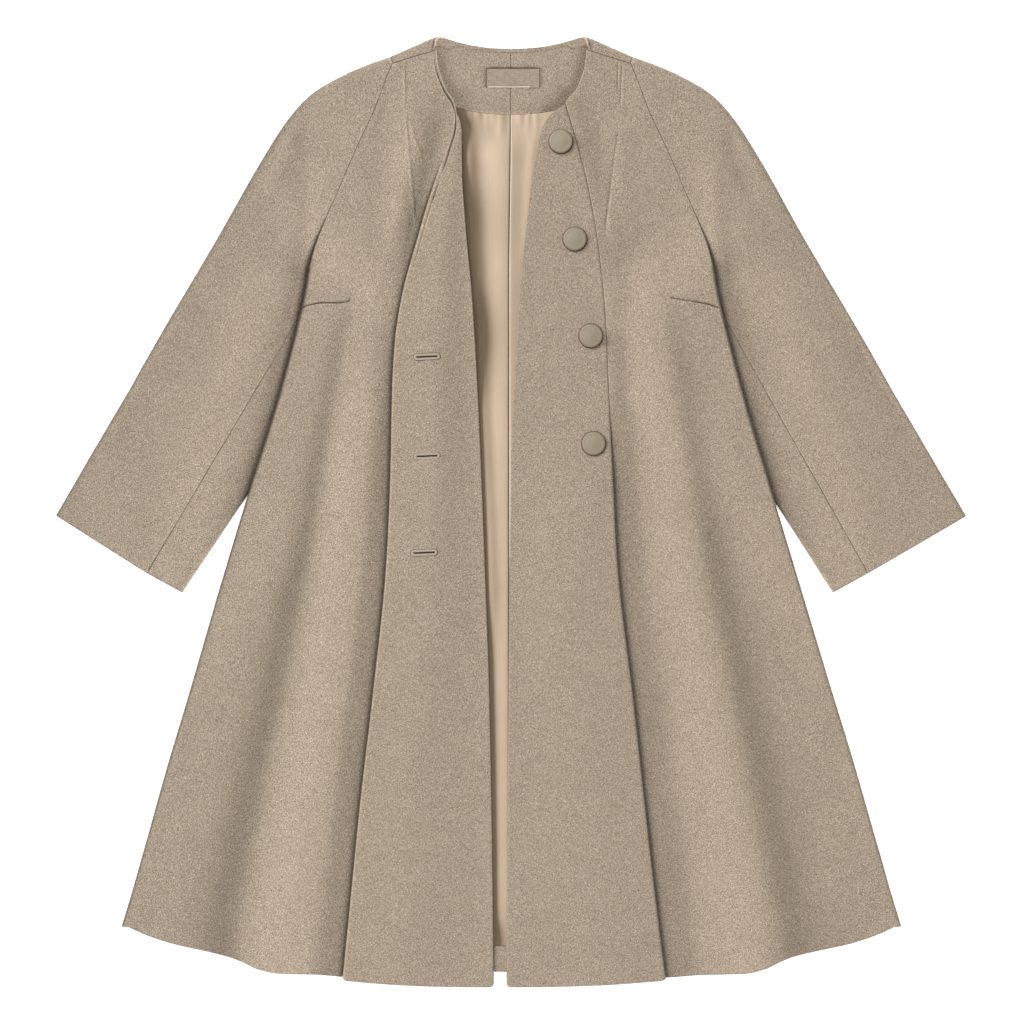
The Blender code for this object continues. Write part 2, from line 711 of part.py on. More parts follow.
def build():
    clear_scene()
    wool = finish("Taupe wool", (0.40, 0.335, 0.255), 0.9)
    satin = finish("Beige satin", (0.60, 0.48, 0.34), 0.45)
    resin = finish("Olive taupe resin", (0.36, 0.31, 0.23), 0.4)
    tape = finish("Woven tape", (0.42, 0.35, 0.27), 0.8)
    for side in (RIGHT, LEFT):
        back(side, wool)
        back_lining(side, satin)
        side_front(side, wool)
        sleeve_upper(side, wool)
        sleeve_under(side, wool)
    cut_buttonholes(front_panel(RIGHT, wool))
    front_panel(LEFT, wool)
    back_neck_facing(wool)
    back_neck_label(tape)
    back_hem_turn_up(wool)
    for number, (x, drop) in enumerate(BUTTON_SPOTS, start=1):
        button(number, x, drop, resin)


build()
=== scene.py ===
# The looks of a swing coat laid flat with its front up.
# X runs across (the wearer's left at +X), Y up to the neck, Z up from the surface it lies on.
# Sizes are in millimetres and repeat the part's own, and go to metres when a mesh is made.
# A drop is measured down from the highest neck point, and MIDDLE is the drop at Y = 0.
# An across is measured out from the centre line.

from collections import namedtuple
from math import cos, exp, hypot, pi, radians, sin

import bpy
import bmesh
import numpy as np
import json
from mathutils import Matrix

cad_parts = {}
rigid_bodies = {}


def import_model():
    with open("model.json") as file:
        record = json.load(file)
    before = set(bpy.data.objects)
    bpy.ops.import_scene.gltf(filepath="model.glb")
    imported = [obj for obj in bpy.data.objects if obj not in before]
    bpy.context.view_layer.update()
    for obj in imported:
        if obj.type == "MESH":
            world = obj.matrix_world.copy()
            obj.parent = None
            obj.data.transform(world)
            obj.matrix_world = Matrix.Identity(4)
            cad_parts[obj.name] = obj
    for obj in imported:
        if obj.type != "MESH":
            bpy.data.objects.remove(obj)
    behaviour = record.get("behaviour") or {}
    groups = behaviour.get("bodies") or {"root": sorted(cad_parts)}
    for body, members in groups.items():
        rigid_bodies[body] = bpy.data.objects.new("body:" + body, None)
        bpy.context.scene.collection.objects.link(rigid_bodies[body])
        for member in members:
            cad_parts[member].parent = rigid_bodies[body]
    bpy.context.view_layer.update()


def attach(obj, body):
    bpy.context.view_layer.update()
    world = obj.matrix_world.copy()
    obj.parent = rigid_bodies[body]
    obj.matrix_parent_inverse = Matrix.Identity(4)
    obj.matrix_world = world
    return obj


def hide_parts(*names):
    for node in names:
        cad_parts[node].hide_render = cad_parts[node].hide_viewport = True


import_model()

# Driving sizes
MIDDLE = 499.1
WOOL = 2.4
SATIN = 1.0
FACING = 2.0
LABEL = 0.6
SEAM = 0.3
REST = WOOL / 2
EDGE_ROLL = 3.0
FRONT_LEVEL = REST + 2 * EDGE_ROLL
INSET = REST + EDGE_ROLL
INNER_LAYER = WOOL + SEAM
SIDE_GAP = 2.0

# Neck and shoulder, as (across, drop)
NECK_HALF = 76.2
NECK_DEPTH = 13.6
SHOULDER_TIP = (127.0, 22.2)
SHOULDER_SEAM = ((79.0, 13.5), (125.2, 27.8))
FACING_HALF = 92.0
FACING_DEPTH = 81.0
FACING_CORNER = (56.0, 66.0)
FACING_CORNER_INSET = 6.5
FACING_TOP_INSET = 1.8
# The facing's lower edge rises by the bow at the half width
FACING_BOW = 7.5
FACING_BOW_HALF = 58
LABEL_SIZE = (55.7, 20.5)
LABEL_CENTRE = (1.6, 43.0)
CENTRE_SEAM = -1.0
# Where the back starts and ends its roll onto the shoulder, as shares of the way to the shoulder tip
NECK_ROLL = (0.590, 0.634)
NECK_POINT_SOFTNESS = 9.0
# How far the back's top edge reaches past the solid's
TOP_REACH = 2.1
SHOULDER_FADE = 180

# Sleeves, as (across, drop). The cuffs reach about 2.4 past the part's, as in the photo.
ARMPIT = (163.0, 309.0)
CUFF_OUTER = (477.8, 503.5)
CUFF_SEAM = (378.8, 563.2)
CUFF_INNER = (342.0, 584.0)
SLEEVE_LOFT = 3.6
# The least share of a sleeve's length at which the direction of its fold is taken
SLEEVE_START = 0.001
TUCKED_LEVEL = 4.7
BODY_LIFT = 6.9

# Hems
BACK_HEM = 983.0
SIDE_HEM = 933.0
HEM_HALF = 407.0
TURN_UP = 27.5
TURN_UP_HALF = 385.0
PANEL_HEM = (990.5, 998.5)

# Pleats beside the front panels
PLEAT_STEP = WOOL + 0.5
PLEAT_RADIUS = PLEAT_STEP / 2
PLEAT_DEPTH = 38.0
PLEAT_SHARE = 0.45
FLUSH_RISE = 2.0
FLUSH_SLOPE = 30
FLUSH_RETURN = 8.0
OPEN_EDGE_LEVEL = 7.8
PANEL_FALL = 0.16

# Buttons and buttonholes, as (x, drop)
BUTTON_SPOTS = ((51.9, 110.1), (66.6, 212.4), (83.3, 314.1), (86.2, 427.2))
BUTTONHOLE_SPOTS = ((-88.5, 336.3), (-88.5, 440.4), (-91.4, 541.7))
BUTTONHOLE = (22.0, 1.6)
BUTTONHOLE_FLOOR = 11.5
BUTTONHOLE_TILT = 0.045
DIP_DEPTH = 0.5
DIP_RADIUS = 13.5
DIP_WIDTH = 4.0
STITCH_LENGTH = 0.9
STITCH_SIDES = 16

RIGHT = -1
LEFT = 1
NAMES = {RIGHT: "right", LEFT: "left"}
# The right sleeve lies a little narrower at its cuff than the left.
CUFF_SHIFT = {RIGHT: 4.2, LEFT: -4.0}

Edge = namedtuple("Edge", "drop across")
Row = namedtuple("Row", "inner outer roll")
Ridge = namedtuple("Ridge", "place inner_width outer_width height")
Gather = namedtuple("Gather", "x width height length")
Turned = namedtuple("Turned", "radius height")
Slope = namedtuple("Slope", "start run")
Spacing = namedtuple("Spacing", "start step")
Crease = namedtuple("Crease", "points width depth taper", defaults=(0.22,))
Rim = namedtuple("Rim", "top bottom inner outer")
Lamp = namedtuple("Lamp", "name lit azimuth tilt strength softness")

RAGLAN = [
    Edge(27.8, 125.2), Edge(44, 132), Edge(74, 143), Edge(103, 156.5), Edge(128, 168), Edge(160, 181.5),
    Edge(193, 196), Edge(220, 206), Edge(243, 212), Edge(258, 215), Edge(272, 217.5),
]
SIDE_EDGE = [
    Edge(288, 221), Edge(325, 230), Edge(402, 251), Edge(474, 273), Edge(558, 298),
    Edge(656, 327), Edge(766, 359.5), Edge(933, 407),
]
OVERARM = [
    Edge(22.2, 127), Edge(31, 152), Edge(40, 173), Edge(60, 208), Edge(86, 232.5),
    Edge(125, 258), Edge(209, 307), Edge(343, 387.5), Edge(503.5, 477.8),
]
NECKLINE = [
    Edge(13.5, 79), Edge(31, 77), Edge(41, 74), Edge(56, 68), Edge(67, 61), Edge(76, 59),
]
PANEL_FOLD = {
    RIGHT: [
        Edge(76, 59.5), Edge(103, 65), Edge(123, 71), Edge(139, 76.2), Edge(172, 87), Edge(210, 98),
        Edge(271, 114.5), Edge(319, 122), Edge(366, 125), Edge(459, 127), Edge(549, 131),
        Edge(696, 146), Edge(803, 158.5), Edge(897, 168), Edge(996, 178),
    ],
    LEFT: [
        Edge(70, 57), Edge(111, 69), Edge(154, 80), Edge(223, 92), Edge(295, 99), Edge(371, 102.5),
        Edge(450, 106), Edge(549, 111), Edge(696, 128), Edge(858, 146), Edge(996, 163),
    ],
}
# An across below 0 is past the centre line.
FRONT_EDGE = {
    RIGHT: [
        Edge(90, 52.5), Edge(139, 52), Edge(199, 48), Edge(276, 41), Edge(389, 34.5),
        Edge(549, 28), Edge(696, 23), Edge(857, 20), Edge(1000, 18.3),
    ],
    LEFT: [
        Edge(104, 30.5), Edge(139, 23), Edge(191, 16.5), Edge(255, 9.5), Edge(328, 5),
        Edge(432, 0), Edge(549, -2), Edge(784, -3.7), Edge(1000, -5.3),
    ],
}
# How strongly the panel's top edge bows up between its fold and its front
PANEL_TOP_BOW = {RIGHT: 0.0, LEFT: 26.46}
PANEL_TOP_FADE = 260
FRONT_HEM = [
    Edge(988, 120), Edge(988, 160), Edge(986, 193), Edge(983.5, 245), Edge(978, 267), Edge(971, 281),
    Edge(966, 294), Edge(961, 317), Edge(954, 351), Edge(944, 383), Edge(933, 407),
]
LINING_EDGE = [Edge(60, 92), Edge(450, 95), Edge(960, 200)]
LINING_LENGTH = 877

# Rows of the body: the drop at the panel, the drop at the side, and how far the side is rolled under.
BODY_ROWS = [
    Row(13.5, 27.8, 0), Row(38, 44, 0), Row(70, 74, 0), Row(96, 103, 0), Row(124, 128, 0),
    Row(160, 160, 0), Row(196, 193, 0), Row(228, 220, 0), Row(254, 243, 0.25), Row(274, 258, 0.6),
    Row(292, 272, 1), Row(312, 290, 1), Row(346, 325, 1), Row(390, 364, 1), Row(432, 402, 1),
    Row(486, 450, 1), Row(540, 498, 1), Row(606, 558, 1), Row(676, 620, 1), Row(752, 690, 1),
    Row(832, 766, 1), Row(912, 850, 1), Row(988, 933, 1),
]
# The skirt's ridge and the soft hollow by the pleat, as shares of the way from the pleat to the side.
RIDGES = [Ridge(0.47, 0.19, 0.13, 0.054), Ridge(0.14, 0.07, 0.07, -0.006)]
RIDGE_GAIN = {RIGHT: 1.0, LEFT: 0.85}
HEM_BEND_START = 740

# Slopes: where each starts and how far it runs. Those over the tucked sleeve start before its folds.
LIFT_BESIDE = Slope(-84, 76)
LIFT_BELOW = Slope(-92, 84)
TUCKED_BESIDE = Slope(-90, 80)
TUCKED_BELOW = Slope(205, 50)
PLEAT_OPENS = {RIGHT: Slope(100, 90), LEFT: Slope(350, 140)}
LEFT_RETURN = Slope(400, 160)
OVERLAP_STARTS = Slope(70, 12)
UNDERLAP = {RIGHT: Slope(195, 60), LEFT: Slope(433, 150)}
FLUSH_STARTS = Slope(40, 30)
LEFT_NECKLINE = Slope(50, 20)
NECKLINE_END = 70
RIDGE_GROWS = Slope(175, 330)
RIDGE_FADE = 25


# Curves

def mix(low, high, share):
    return low + (high - low) * share


def even(low, high, count):
    """Evenly spread values from low to high, in a count of steps."""
    return [mix(low, high, step / count) for step in range(count + 1)]


def mix_points(start, end, share):
    return tuple(mix(a, b, share) for a, b in zip(start, end))


def ease(share):
    share = min(max(share, 0.0), 1.0)
    return share * share * (3 - 2 * share)


def climb(slope, at):
    """How far up a slope a place lies, from 0 before it to 1 past it."""
    return ease((at - slope.start) / slope.run)


def follow(edges, at, key="drop", value="across"):
    """The value beside a drop, on a smooth curve through an edge's rows that never overshoots them."""
    knots = sorted((getattr(edge, key), getattr(edge, value)) for edge in edges)
    at = min(max(at, knots[0][0]), knots[-1][0])
    first = 0
    while first < len(knots) - 2 and at > knots[first + 1][0]:
        first += 1

    def tangent(index):
        near = max(min(index, len(knots) - 2), 1)
        slopes = [(b[1] - a[1]) / (b[0] - a[0]) for a, b in zip(knots[near - 1:], knots[near:near + 2])]
        if index == 0:
            return slopes[0]
        if index == len(knots) - 1:
            return slopes[-1]
        if slopes[0] * slopes[1] <= 0:
            return 0.0
        return 2 * slopes[0] * slopes[1] / (slopes[0] + slopes[1])

    (x0, y0), (x1, y1) = knots[first], knots[first + 1]
    share = (at - x0) / (x1 - x0)
    straight = y1 - y0
    lean = (1 - share) * (tangent(first) * (x1 - x0) - straight)
    lean -= share * (tangent(first + 1) * (x1 - x0) - straight)
    return y0 + straight * share + share * (1 - share) * lean


def side_edge(drop):
    """The body's outer edge: the raglan seam, then the side."""
    return follow(RAGLAN + SIDE_EDGE, drop)


def line_of(edges, steps=60):
    """Evenly spread points (across, drop) along an edge."""
    return [(follow(edges, drop), drop) for drop in even(edges[0].drop, edges[-1].drop, steps)]


def along(points, share):
    """The point at a share of a line's length."""
    lengths = [hypot(b[0] - a[0], b[1] - a[1]) for a, b in zip(points, points[1:])]
    left = share * sum(lengths)
    for start, end, length in zip(points, points[1:], lengths):
        if left <= length:
            return mix_points(start, end, left / length)
        left -= length
    return points[-1]


def towards(start, end, distance):
    """The point at a distance from the start on the way to the end."""
    return mix_points(start, end, distance / hypot(end[0] - start[0], end[1] - start[1]))


def turned(low, high, steps):
    """A half turn from a lower layer up to a higher one: how far out and how high each step lies."""
    radius = (high - low) / 2
    turns = [pi * step / steps for step in range(steps + 1)]
    return [Turned(radius * sin(turn), low + radius * (1 - cos(turn))) for turn in turns]


# Levels: the height of the middle of each layer of cloth

def over_sleeve(across, drop):
    """How far the sleeve tucked under the body lifts it, with gentle slopes off the sleeve's folds."""
    fold = (CUFF_INNER[0] - ARMPIT[0], CUFF_INNER[1] - ARMPIT[1])
    past_fold = ((across - ARMPIT[0]) * fold[1] - (drop - ARMPIT[1]) * fold[0]) / hypot(*fold)
    corner = RAGLAN[-1]
    top = (corner.across - ARMPIT[0], ARMPIT[1] - corner.drop)
    past_top = ((across - corner.across) * top[1] + (drop - corner.drop) * top[0]) / hypot(*top)
    return BODY_LIFT * climb(LIFT_BESIDE, past_fold) * climb(LIFT_BELOW, past_top)


def pleat_lift(side, drop):
    """How far the pleat stands up: both lie flush at the top, and the left one down to the bust."""
    return climb(PLEAT_OPENS[side], drop)


def panel_width(side, drop):
    return follow(PANEL_FOLD[side], drop) - follow(FRONT_EDGE[side], drop)


def pleat_depth(side, drop):
    return min(PLEAT_DEPTH, PLEAT_SHARE * panel_width(side, drop))


def return_depth(side, drop):
    """How far the cloth turned under at the pleat runs back under the panel."""
    depth = max(pleat_depth(side, drop), 2.0)
    return depth if side == RIGHT else mix(FLUSH_RETURN, depth, climb(LEFT_RETURN, drop))


def underlap(side, drop):
    """How far the side front runs under the panel. Where they lie flush, it only meets the fold."""
    depth = pleat_depth(side, drop) + 2.0
    if side == RIGHT:
        return mix(FOLD_OVERLAP * climb(OVERLAP_STARTS, drop), depth, climb(UNDERLAP[side], drop))
    return mix(-STITCHED, depth, climb(UNDERLAP[side], drop))


def fold_level(side, drop):
    lift = pleat_lift(side, drop)
    level = FRONT_LEVEL + over_sleeve(follow(PANEL_FOLD[side], drop), drop)
    return level + (2 * PLEAT_STEP + PLEAT_RISE[side]) * lift + FLUSH_RISE * (1 - lift)


def panel_level(side, across, drop):
    width = panel_width(side, drop)
    depth = return_depth(side, drop) + 3
    high = fold_level(side, drop)
    low = max(OPEN_EDGE_LEVEL, high - PANEL_FALL * max(width - depth, 0))
    inside = follow(PANEL_FOLD[side], drop) - across
    return mix(high, low, ease((inside - depth) / max(width - depth, 1)))


def front_level(side, across, drop):
    """The side front, with the skirt's ridge, its rise to the flush seam, and the sleeve under it."""
    fold = follow(PANEL_FOLD[side], drop)
    edge = side_edge(drop)
    width = edge - fold
    share = (across - fold) / width
    grown = RIDGE_GAIN[side] * climb(RIDGE_GROWS, drop) * ease((edge - INSET - across) / RIDGE_FADE)
    level = FRONT_LEVEL + over_sleeve(across, drop)
    for ridge in RIDGES:
        reach = ridge.outer_width if share > ridge.place else ridge.inner_width
        level += ridge.height * width * grown * exp(-((share - ridge.place) / reach) ** 2)
    flush = (1 - pleat_lift(side, drop)) * climb(FLUSH_STARTS, drop)
    level += PLEAT_RISE[side] * pleat_lift(side, drop) * (1 - ease((across - fold) / PLEAT_SLOPE[side]))
    return level + FLUSH_RISE * flush * (1 - ease((across - fold) / FLUSH_SLOPE))


# What the looks add to the sizes above

STITCHED = 0.04
SATIN_SEAM = 0.75
FINE_COLUMNS = 30
FINE_REACH = 12.6
MIDDLE_COLUMNS = 60
MIDDLE_REACH = 60.6
FACE_COLUMNS = 46
RETURN_COLUMNS = 5
FINE_ROLL_STEPS = 10
CORD_SIDES = 8
# The raglan seam's thread, near-black as painted shade for the seam, from drop to drop, and how far it
# stands over the others
RAGLAN_SHADE_THREAD = (28, 246)
RAGLAN_SHADE_THREAD_RISE = 0.16
# How far the side fronts rise to the pleats, and over how wide a slope
PLEAT_RISE = {RIGHT: 2.6, LEFT: 1.8}
PLEAT_SLOPE = {RIGHT: 30, LEFT: 42}
FOLD_OVERLAP = 2.6
FOLD_CORNER = 4.4
HEM_CORNER = 4.5
NECK_CORNER = 8.0
# How sharply the sides are folded, and how far they reach past the solids lower down
SIDE_FOLD = 1.5
FOLD_STARTS = 0.25
ROLL_CURVE = 2.4
SIDE_DROPS = (380, 497, 590, 700, 780, 860, 933)
SIDE_REACH = {RIGHT: (0.0, 2.0, 2.6, 2.2, 3.4, 4.2, 3.2), LEFT: (0.0, -0.6, 0.2, 1.2, 2.8, 4.2, 3.2)}
# The same for the folds along the arms, by share of the sleeve's length
ARM_SHARES = (0, 0.3, 0.45, 0.6, 0.75, 0.88, 1)
ARM_REACH = {RIGHT: (2.0, 1.8, 0.9, 0.0, -1.4, 0.4, 1.6), LEFT: (2.0, 1.2, -0.3, -1.4, -2.8, -1.2, 0.6)}

SIDE_FRONT_SPACING = [
    Spacing(13.5, 2.4), Spacing(280, 2.0), Spacing(294, 0.45), Spacing(310, 6.0), Spacing(984, 1.0),
]
SLEEVE_SPACING = [Spacing(0.0, 0.0075), Spacing(0.985, 0.002)]
SLEEVE_RIM = Rim(0.7, 1.3, 0.7, 0.7)
# The upper sleeve's share of a sleeve's width
UPPER_SHARE = 0.75

# Soft troughs (depth above 0) and ridges (below 0) of the fronts, as (x, drop)
FRONT_CREASES = [
    Crease([(-90, 70), (-101, 120), (-110, 175), (-120, 240)], 15, 3.0),
    Crease([(-128, 50), (-136, 150), (-142, 240)], 16, -1.0),
    Crease([(112, 70), (116, 150), (108, 240)], 15, -0.9),
    Crease([(-150, 330), (-156, 420), (-160, 520)], 16, -0.6),
    Crease([(148, 340), (150, 430), (158, 540)], 18, -0.5),
]
# The line sewn beside the right front's neckline, which runs on beside its fold, as (x, drop)
NECK_STITCHING = [
    (-82.5, 17), (-80.8, 31), (-78, 41), (-72.5, 54), (-67.7, 62), (-63, 69.3), (-60.4, 75.6), (-58.6, 82),
    (-58.4, 95), (-60, 103.5), (-62.3, 110), (-64.9, 118.6), (-68, 129), (-71.6, 139.6), (-82.6, 172),
    (-93.6, 210), (-103, 245),
]
# Fine pressed lines and the bust darts, as (x, drop)
FRONT_LINES = [
    Crease(NECK_STITCHING, 0.7, 1.0, 0.12),
    Crease(NECK_STITCHING[7:13], 0.6, 0.7),
    Crease([(-111.5, 75), (-108, 120), (-99.5, 202)], 0.9, 0.9, 0.12),
    Crease([(-108, 85), (-101, 108), (-92.5, 128)], 0.9, 0.9, 0.12),
    Crease([(-112.5, 22), (-111.5, 72)], 1.0, 0.55),
    Crease([(113.5, 93), (105, 150), (98, 209)], 1.0, 0.8, 0.12),
    Crease([(117, 24), (115, 50), (114.5, 77)], 1.0, 0.6),
    Crease([(112, 24), (112, 60)], 1.0, 0.55),
    Crease([(-221.2, 286.8), (-215.9, 283), (-207.3, 280.9), (-199.8, 279.7), (-179.4, 279.7),
            (-171.5, 278.1), (-169.6, 275.7)], 0.7, 1.6, 0.04),
    Crease([(218, 285.2), (208, 281.6), (197.4, 279.3), (180, 276.3), (166, 274)], 0.7, 1.6, 0.04),
]
# Soft forms of the sleeves, mirrored on the other side, as (across, drop)
SLEEVE_CREASES = [
    Crease([(239, 78), (232, 119), (257, 171)], 11, 1.6),
    Crease([(213, 119), (214, 180), (222, 265)], 12, -1.3),
    Crease([(300, 250), (340, 330), (392, 420)], 20, -0.8),
    Crease([(262, 300), (300, 372), (346, 450)], 16, 0.9),
    Crease([(330, 250), (384, 344), (436, 436)], 14, 0.6),
    Crease([(204, 205), (216, 262), (224, 300), (238, 352), (258, 425)], 15, -2.2),
]
# Folds of the satin, as (x, drop)
LINING_CREASES = [
    Crease([(-9, 92), (-8, 300), (-7, 620), (-7, 950)], 20, -2.4, 0.04),
    Crease([(-46, 88), (-45, 150), (-41, 220), (-37, 290)], 7.5, -3.0, 0.2),
    Crease([(-37, 240), (-33, 330), (-29, 420), (-24, 520), (-20, 660)], 7, -1.8, 0.2),
    Crease([(25, 86), (20, 150), (16, 240)], 6, -0.6),
]
# The small puckers where the satin is eased into the facing
PUCKERS = [
    Gather(-52, 3.0, 0.6, 12), Gather(-43, 2.6, 0.5, 20), Gather(-35.5, 3.8, 0.8, 14),
    Gather(-26, 2.4, 0.4, 24), Gather(-19.5, 4.4, 0.8, 18), Gather(-11, 5.0, 1.0, 34),
    Gather(9, 3.8, 0.6, 16), Gather(17.5, 2.6, 0.4, 28), Gather(26, 2.8, 0.4, 34),
]


def spaced(table, end):
    """Values from the first start to the end, each stretch at its own step."""
    values = []
    for row, stop in zip(table, [row.start for row in table[1:]] + [end]):
        count = max(round((stop - row.start) / row.step), 1)
        values += even(row.start, stop, count)[:-1]
    return values + [end]


def relief(creases, x, drop):
    """The height that creases give each point: below 0 in a trough and above 0 on a ridge."""
    height = np.zeros_like(x)
    for crease in creases:
        spots = np.array(crease.points, dtype=float)
        runs = np.hypot(*np.diff(spots, axis=0).T)
        total = runs.sum()
        nearest = np.full_like(x, 1e9)
        place = np.zeros_like(x)
        before = 0.0
        for start, end, run in zip(spots, spots[1:], runs):
            way = (end - start) / run
            ahead = np.clip((x - start[0]) * way[0] + (drop - start[1]) * way[1], 0, run)
            far = np.hypot(x - start[0] - way[0] * ahead, drop - start[1] - way[1] * ahead)
            closer = far < nearest
            nearest = np.where(closer, far, nearest)
            place = np.where(closer, (before + ahead) / total, place)
            before += run
        taper = np.clip(np.minimum(place, 1 - place) / crease.taper, 0, 1)
        taper = taper * taper * (3 - 2 * taper)
        height -= crease.depth * taper * np.exp(-(nearest / crease.width) ** 2)
    return height


def uneven(x, drop):
    """The small unevenness of cloth that was laid down by hand."""
    broad = np.sin(x / 31 + 0.8) * np.sin(drop / 43 + x / 160) + np.sin(x / 17 + drop / 39 + 2.1)
    fine = np.sin(x / 9.5 - drop / 23 + 0.4) * np.sin(drop / 13 + 1.3)
    return 0.16 * broad + 0.07 * fine


def eased(values):
    values = np.clip(values, 0, 1)
    return values * values * (3 - 2 * values)


# Meshes

def rounded_end(grid, radius, at_end):
    """Rows added near one end of a grid, and the share of the full thickness at each of its rows."""
    if at_end:
        grid, shares = rounded_end(grid[::-1], radius, False)
        return grid[::-1], shares[::-1]
    run = np.linalg.norm(grid[1] - grid[0], axis=-1, keepdims=True)
    way = (grid[1] - grid[0]) / np.maximum(run, 1e-6)
    turns = np.array([0, 25, 50, 75]) * pi / 180
    reach = np.minimum(radius, run * 0.8)
    added = [grid[0] + way * reach * (1 - cos(turn)) for turn in turns]
    shares = [sin(turn) for turn in turns] + [1.0] * (len(grid) - 1)
    return np.concatenate([np.array(added), grid[1:]]), np.array(shares)


def rounded_corner(grid, radius, row_end, column_end):
    """A grid with one of its corners drawn in to an arc."""
    rows = grid[::-1] if row_end else grid
    rows = rows[:, ::-1] if column_end else rows
    rows = rows.copy()
    down = np.linalg.norm(rows[:, 0] - rows[0, 0], axis=-1)
    for i in np.nonzero(down < radius)[0]:
        inset = radius - np.sqrt(max(radius ** 2 - (radius - down[i]) ** 2, 0))
        inwards = rows[i, 1] - rows[i, 0]
        inwards = inwards / np.linalg.norm(inwards)
        away = np.linalg.norm(rows[i] - rows[i, 0], axis=-1)
        rows[i] += inwards * inset * np.clip(1 - away / (4 * radius), 0, 1)[:, None]
    rows = rows[:, ::-1] if column_end else rows
    return rows[::-1] if row_end else rows


def mesh_object(name, vertices, faces, material):
    mesh = bpy.data.meshes.new(name)
    mesh.from_pydata([tuple(spot) for spot in np.asarray(vertices) / 1000], [], faces)
    shape = bmesh.new()
    shape.from_mesh(mesh)
    bmesh.ops.recalc_face_normals(shape, faces=shape.faces)
    shape.to_mesh(mesh)
    shape.free()
    mesh.materials.append(material)
    mesh.shade_smooth()
    piece = bpy.data.objects.new(name, mesh)
    bpy.context.collection.objects.link(piece)
    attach(piece, "root")
    return piece


def facings(grid, side):
    """The direction of the cloth's outer face at each point of its middle."""
    out = np.cross(np.gradient(grid, axis=0), np.gradient(grid, axis=1)) * side
    return out / np.maximum(np.linalg.norm(out, axis=-1, keepdims=True), 1e-9)


def shell(name, grid, thickness, material, side=LEFT, rim=None, outer_face=None):
    """A wall of cloth with rounded edges around the grid of points in its middle."""
    rim = rim or Rim(1.2, 1.2, 1.2, 1.2)
    grid, down_top = rounded_end(grid, rim.top, False)
    grid, down_bottom = rounded_end(grid, rim.bottom, True)
    down = np.minimum(np.append(down_top, [1.0] * (len(grid) - len(down_top))), down_bottom)
    grid, in_inner = rounded_end(grid.transpose(1, 0, 2), rim.inner, False)
    grid, in_outer = rounded_end(grid, rim.outer, True)
    inwards = np.minimum(np.append(in_inner, [1.0] * (len(grid) - len(in_inner))), in_outer)
    grid = grid.transpose(1, 0, 2)
    share = (down[:, None] * inwards[None, :])[..., None]
    out = facings(grid, side)
    upper = grid + out * share * thickness / 2
    lower = grid - out * share * thickness / 2
    if outer_face is not None:
        upper += out * share * outer_face(grid[..., 0], MIDDLE - grid[..., 1], grid[..., 2])[..., None]
    rows, columns = grid.shape[:2]
    over = np.arange(rows * columns).reshape(rows, columns)
    under = over.copy()
    inside = np.zeros((rows, columns), dtype=bool)
    inside[1:-1, 1:-1] = True
    under[inside] = rows * columns + np.arange(inside.sum())
    faces = []
    for layer, order in ((over, 1), (under, -1)):
        corners = (layer[:-1, :-1], layer[:-1, 1:], layer[1:, 1:], layer[1:, :-1])
        quads = np.stack([corner.ravel() for corner in corners], axis=1)
        faces += [tuple(quad[::order]) for quad in quads.tolist()]
    vertices = np.concatenate([upper.reshape(-1, 3), lower[inside]])
    return mesh_object(name, vertices, faces, material)


def tube(rings, around, closed=False):
    """The faces between rings of points, with a cap at each end unless the tube runs into itself."""
    faces = []
    for ring in range(rings if closed else rings - 1):
        low, high = ring * around, (ring + 1) % rings * around
        for side in range(around):
            after = (side + 1) % around
            faces.append((low + side, low + after, high + after, high + side))
    if not closed:
        faces.append(tuple(range(around))[::-1])
        faces.append(tuple(range((rings - 1) * around, rings * around)))
    return faces


def turns(count):
    """The angles of evenly spread points round a ring."""
    return [2 * pi * step / count for step in range(count)]


def cord(name, spots, wide, tall, material):
    """A fine cord or line of thread along points (x, drop, level), a little flattened onto the cloth."""
    points = np.array([(x, MIDDLE - drop, level) for x, drop, level in spots])
    ways = np.gradient(points, axis=0)
    ways /= np.linalg.norm(ways, axis=1, keepdims=True)
    vertices = []
    for spot, way in zip(points, ways):
        aside = np.array((-way[1], way[0], 0.0))
        for turn in turns(CORD_SIDES):
            vertices.append(spot + aside * wide * cos(turn) + np.array((0, 0, tall * sin(turn))))
    mesh_object(name, vertices, tube(len(points), CORD_SIDES), material)


def declare(piece, node):
    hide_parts(node)
    return piece


def placed(rows, side):
    """Rows of (across, drop, level) as points on a side of the coat."""
    grid = np.array(rows, dtype=float)
    return np.stack([grid[..., 0] * side, MIDDLE - grid[..., 1], grid[..., 2]], axis=-1)


# Fronts

def hem_shift(across, share, bend):
    """How far a row near the hem is moved to follow the hem's own line."""
    straight = mix(BODY_ROWS[-1].inner, BODY_ROWS[-1].outer, share)
    return bend * (follow(FRONT_HEM, across, "across", "drop") - straight)


def side_front_start(side, drop):
    """Where a row of the side front starts, at the neckline or under the panel, and where it comes out."""
    if drop < NECKLINE_END:
        edge = follow(NECKLINE, drop)
        if side == LEFT:
            gap = follow(NECKLINE, NECKLINE_END) - PANEL_FOLD[LEFT][0].across
            edge -= gap * climb(LEFT_NECKLINE, drop)
        return edge, edge
    fold = follow(PANEL_FOLD[side], max(drop, PANEL_FOLD[side][0].drop))
    return fold - underlap(side, drop), fold


def bend_at(inner_drop):
    """How much a row takes on the hem's shape, from 0 high up to 1 at the hem."""
    return ease((inner_drop - HEM_BEND_START) / (BODY_ROWS[-1].inner - HEM_BEND_START)) ** 2


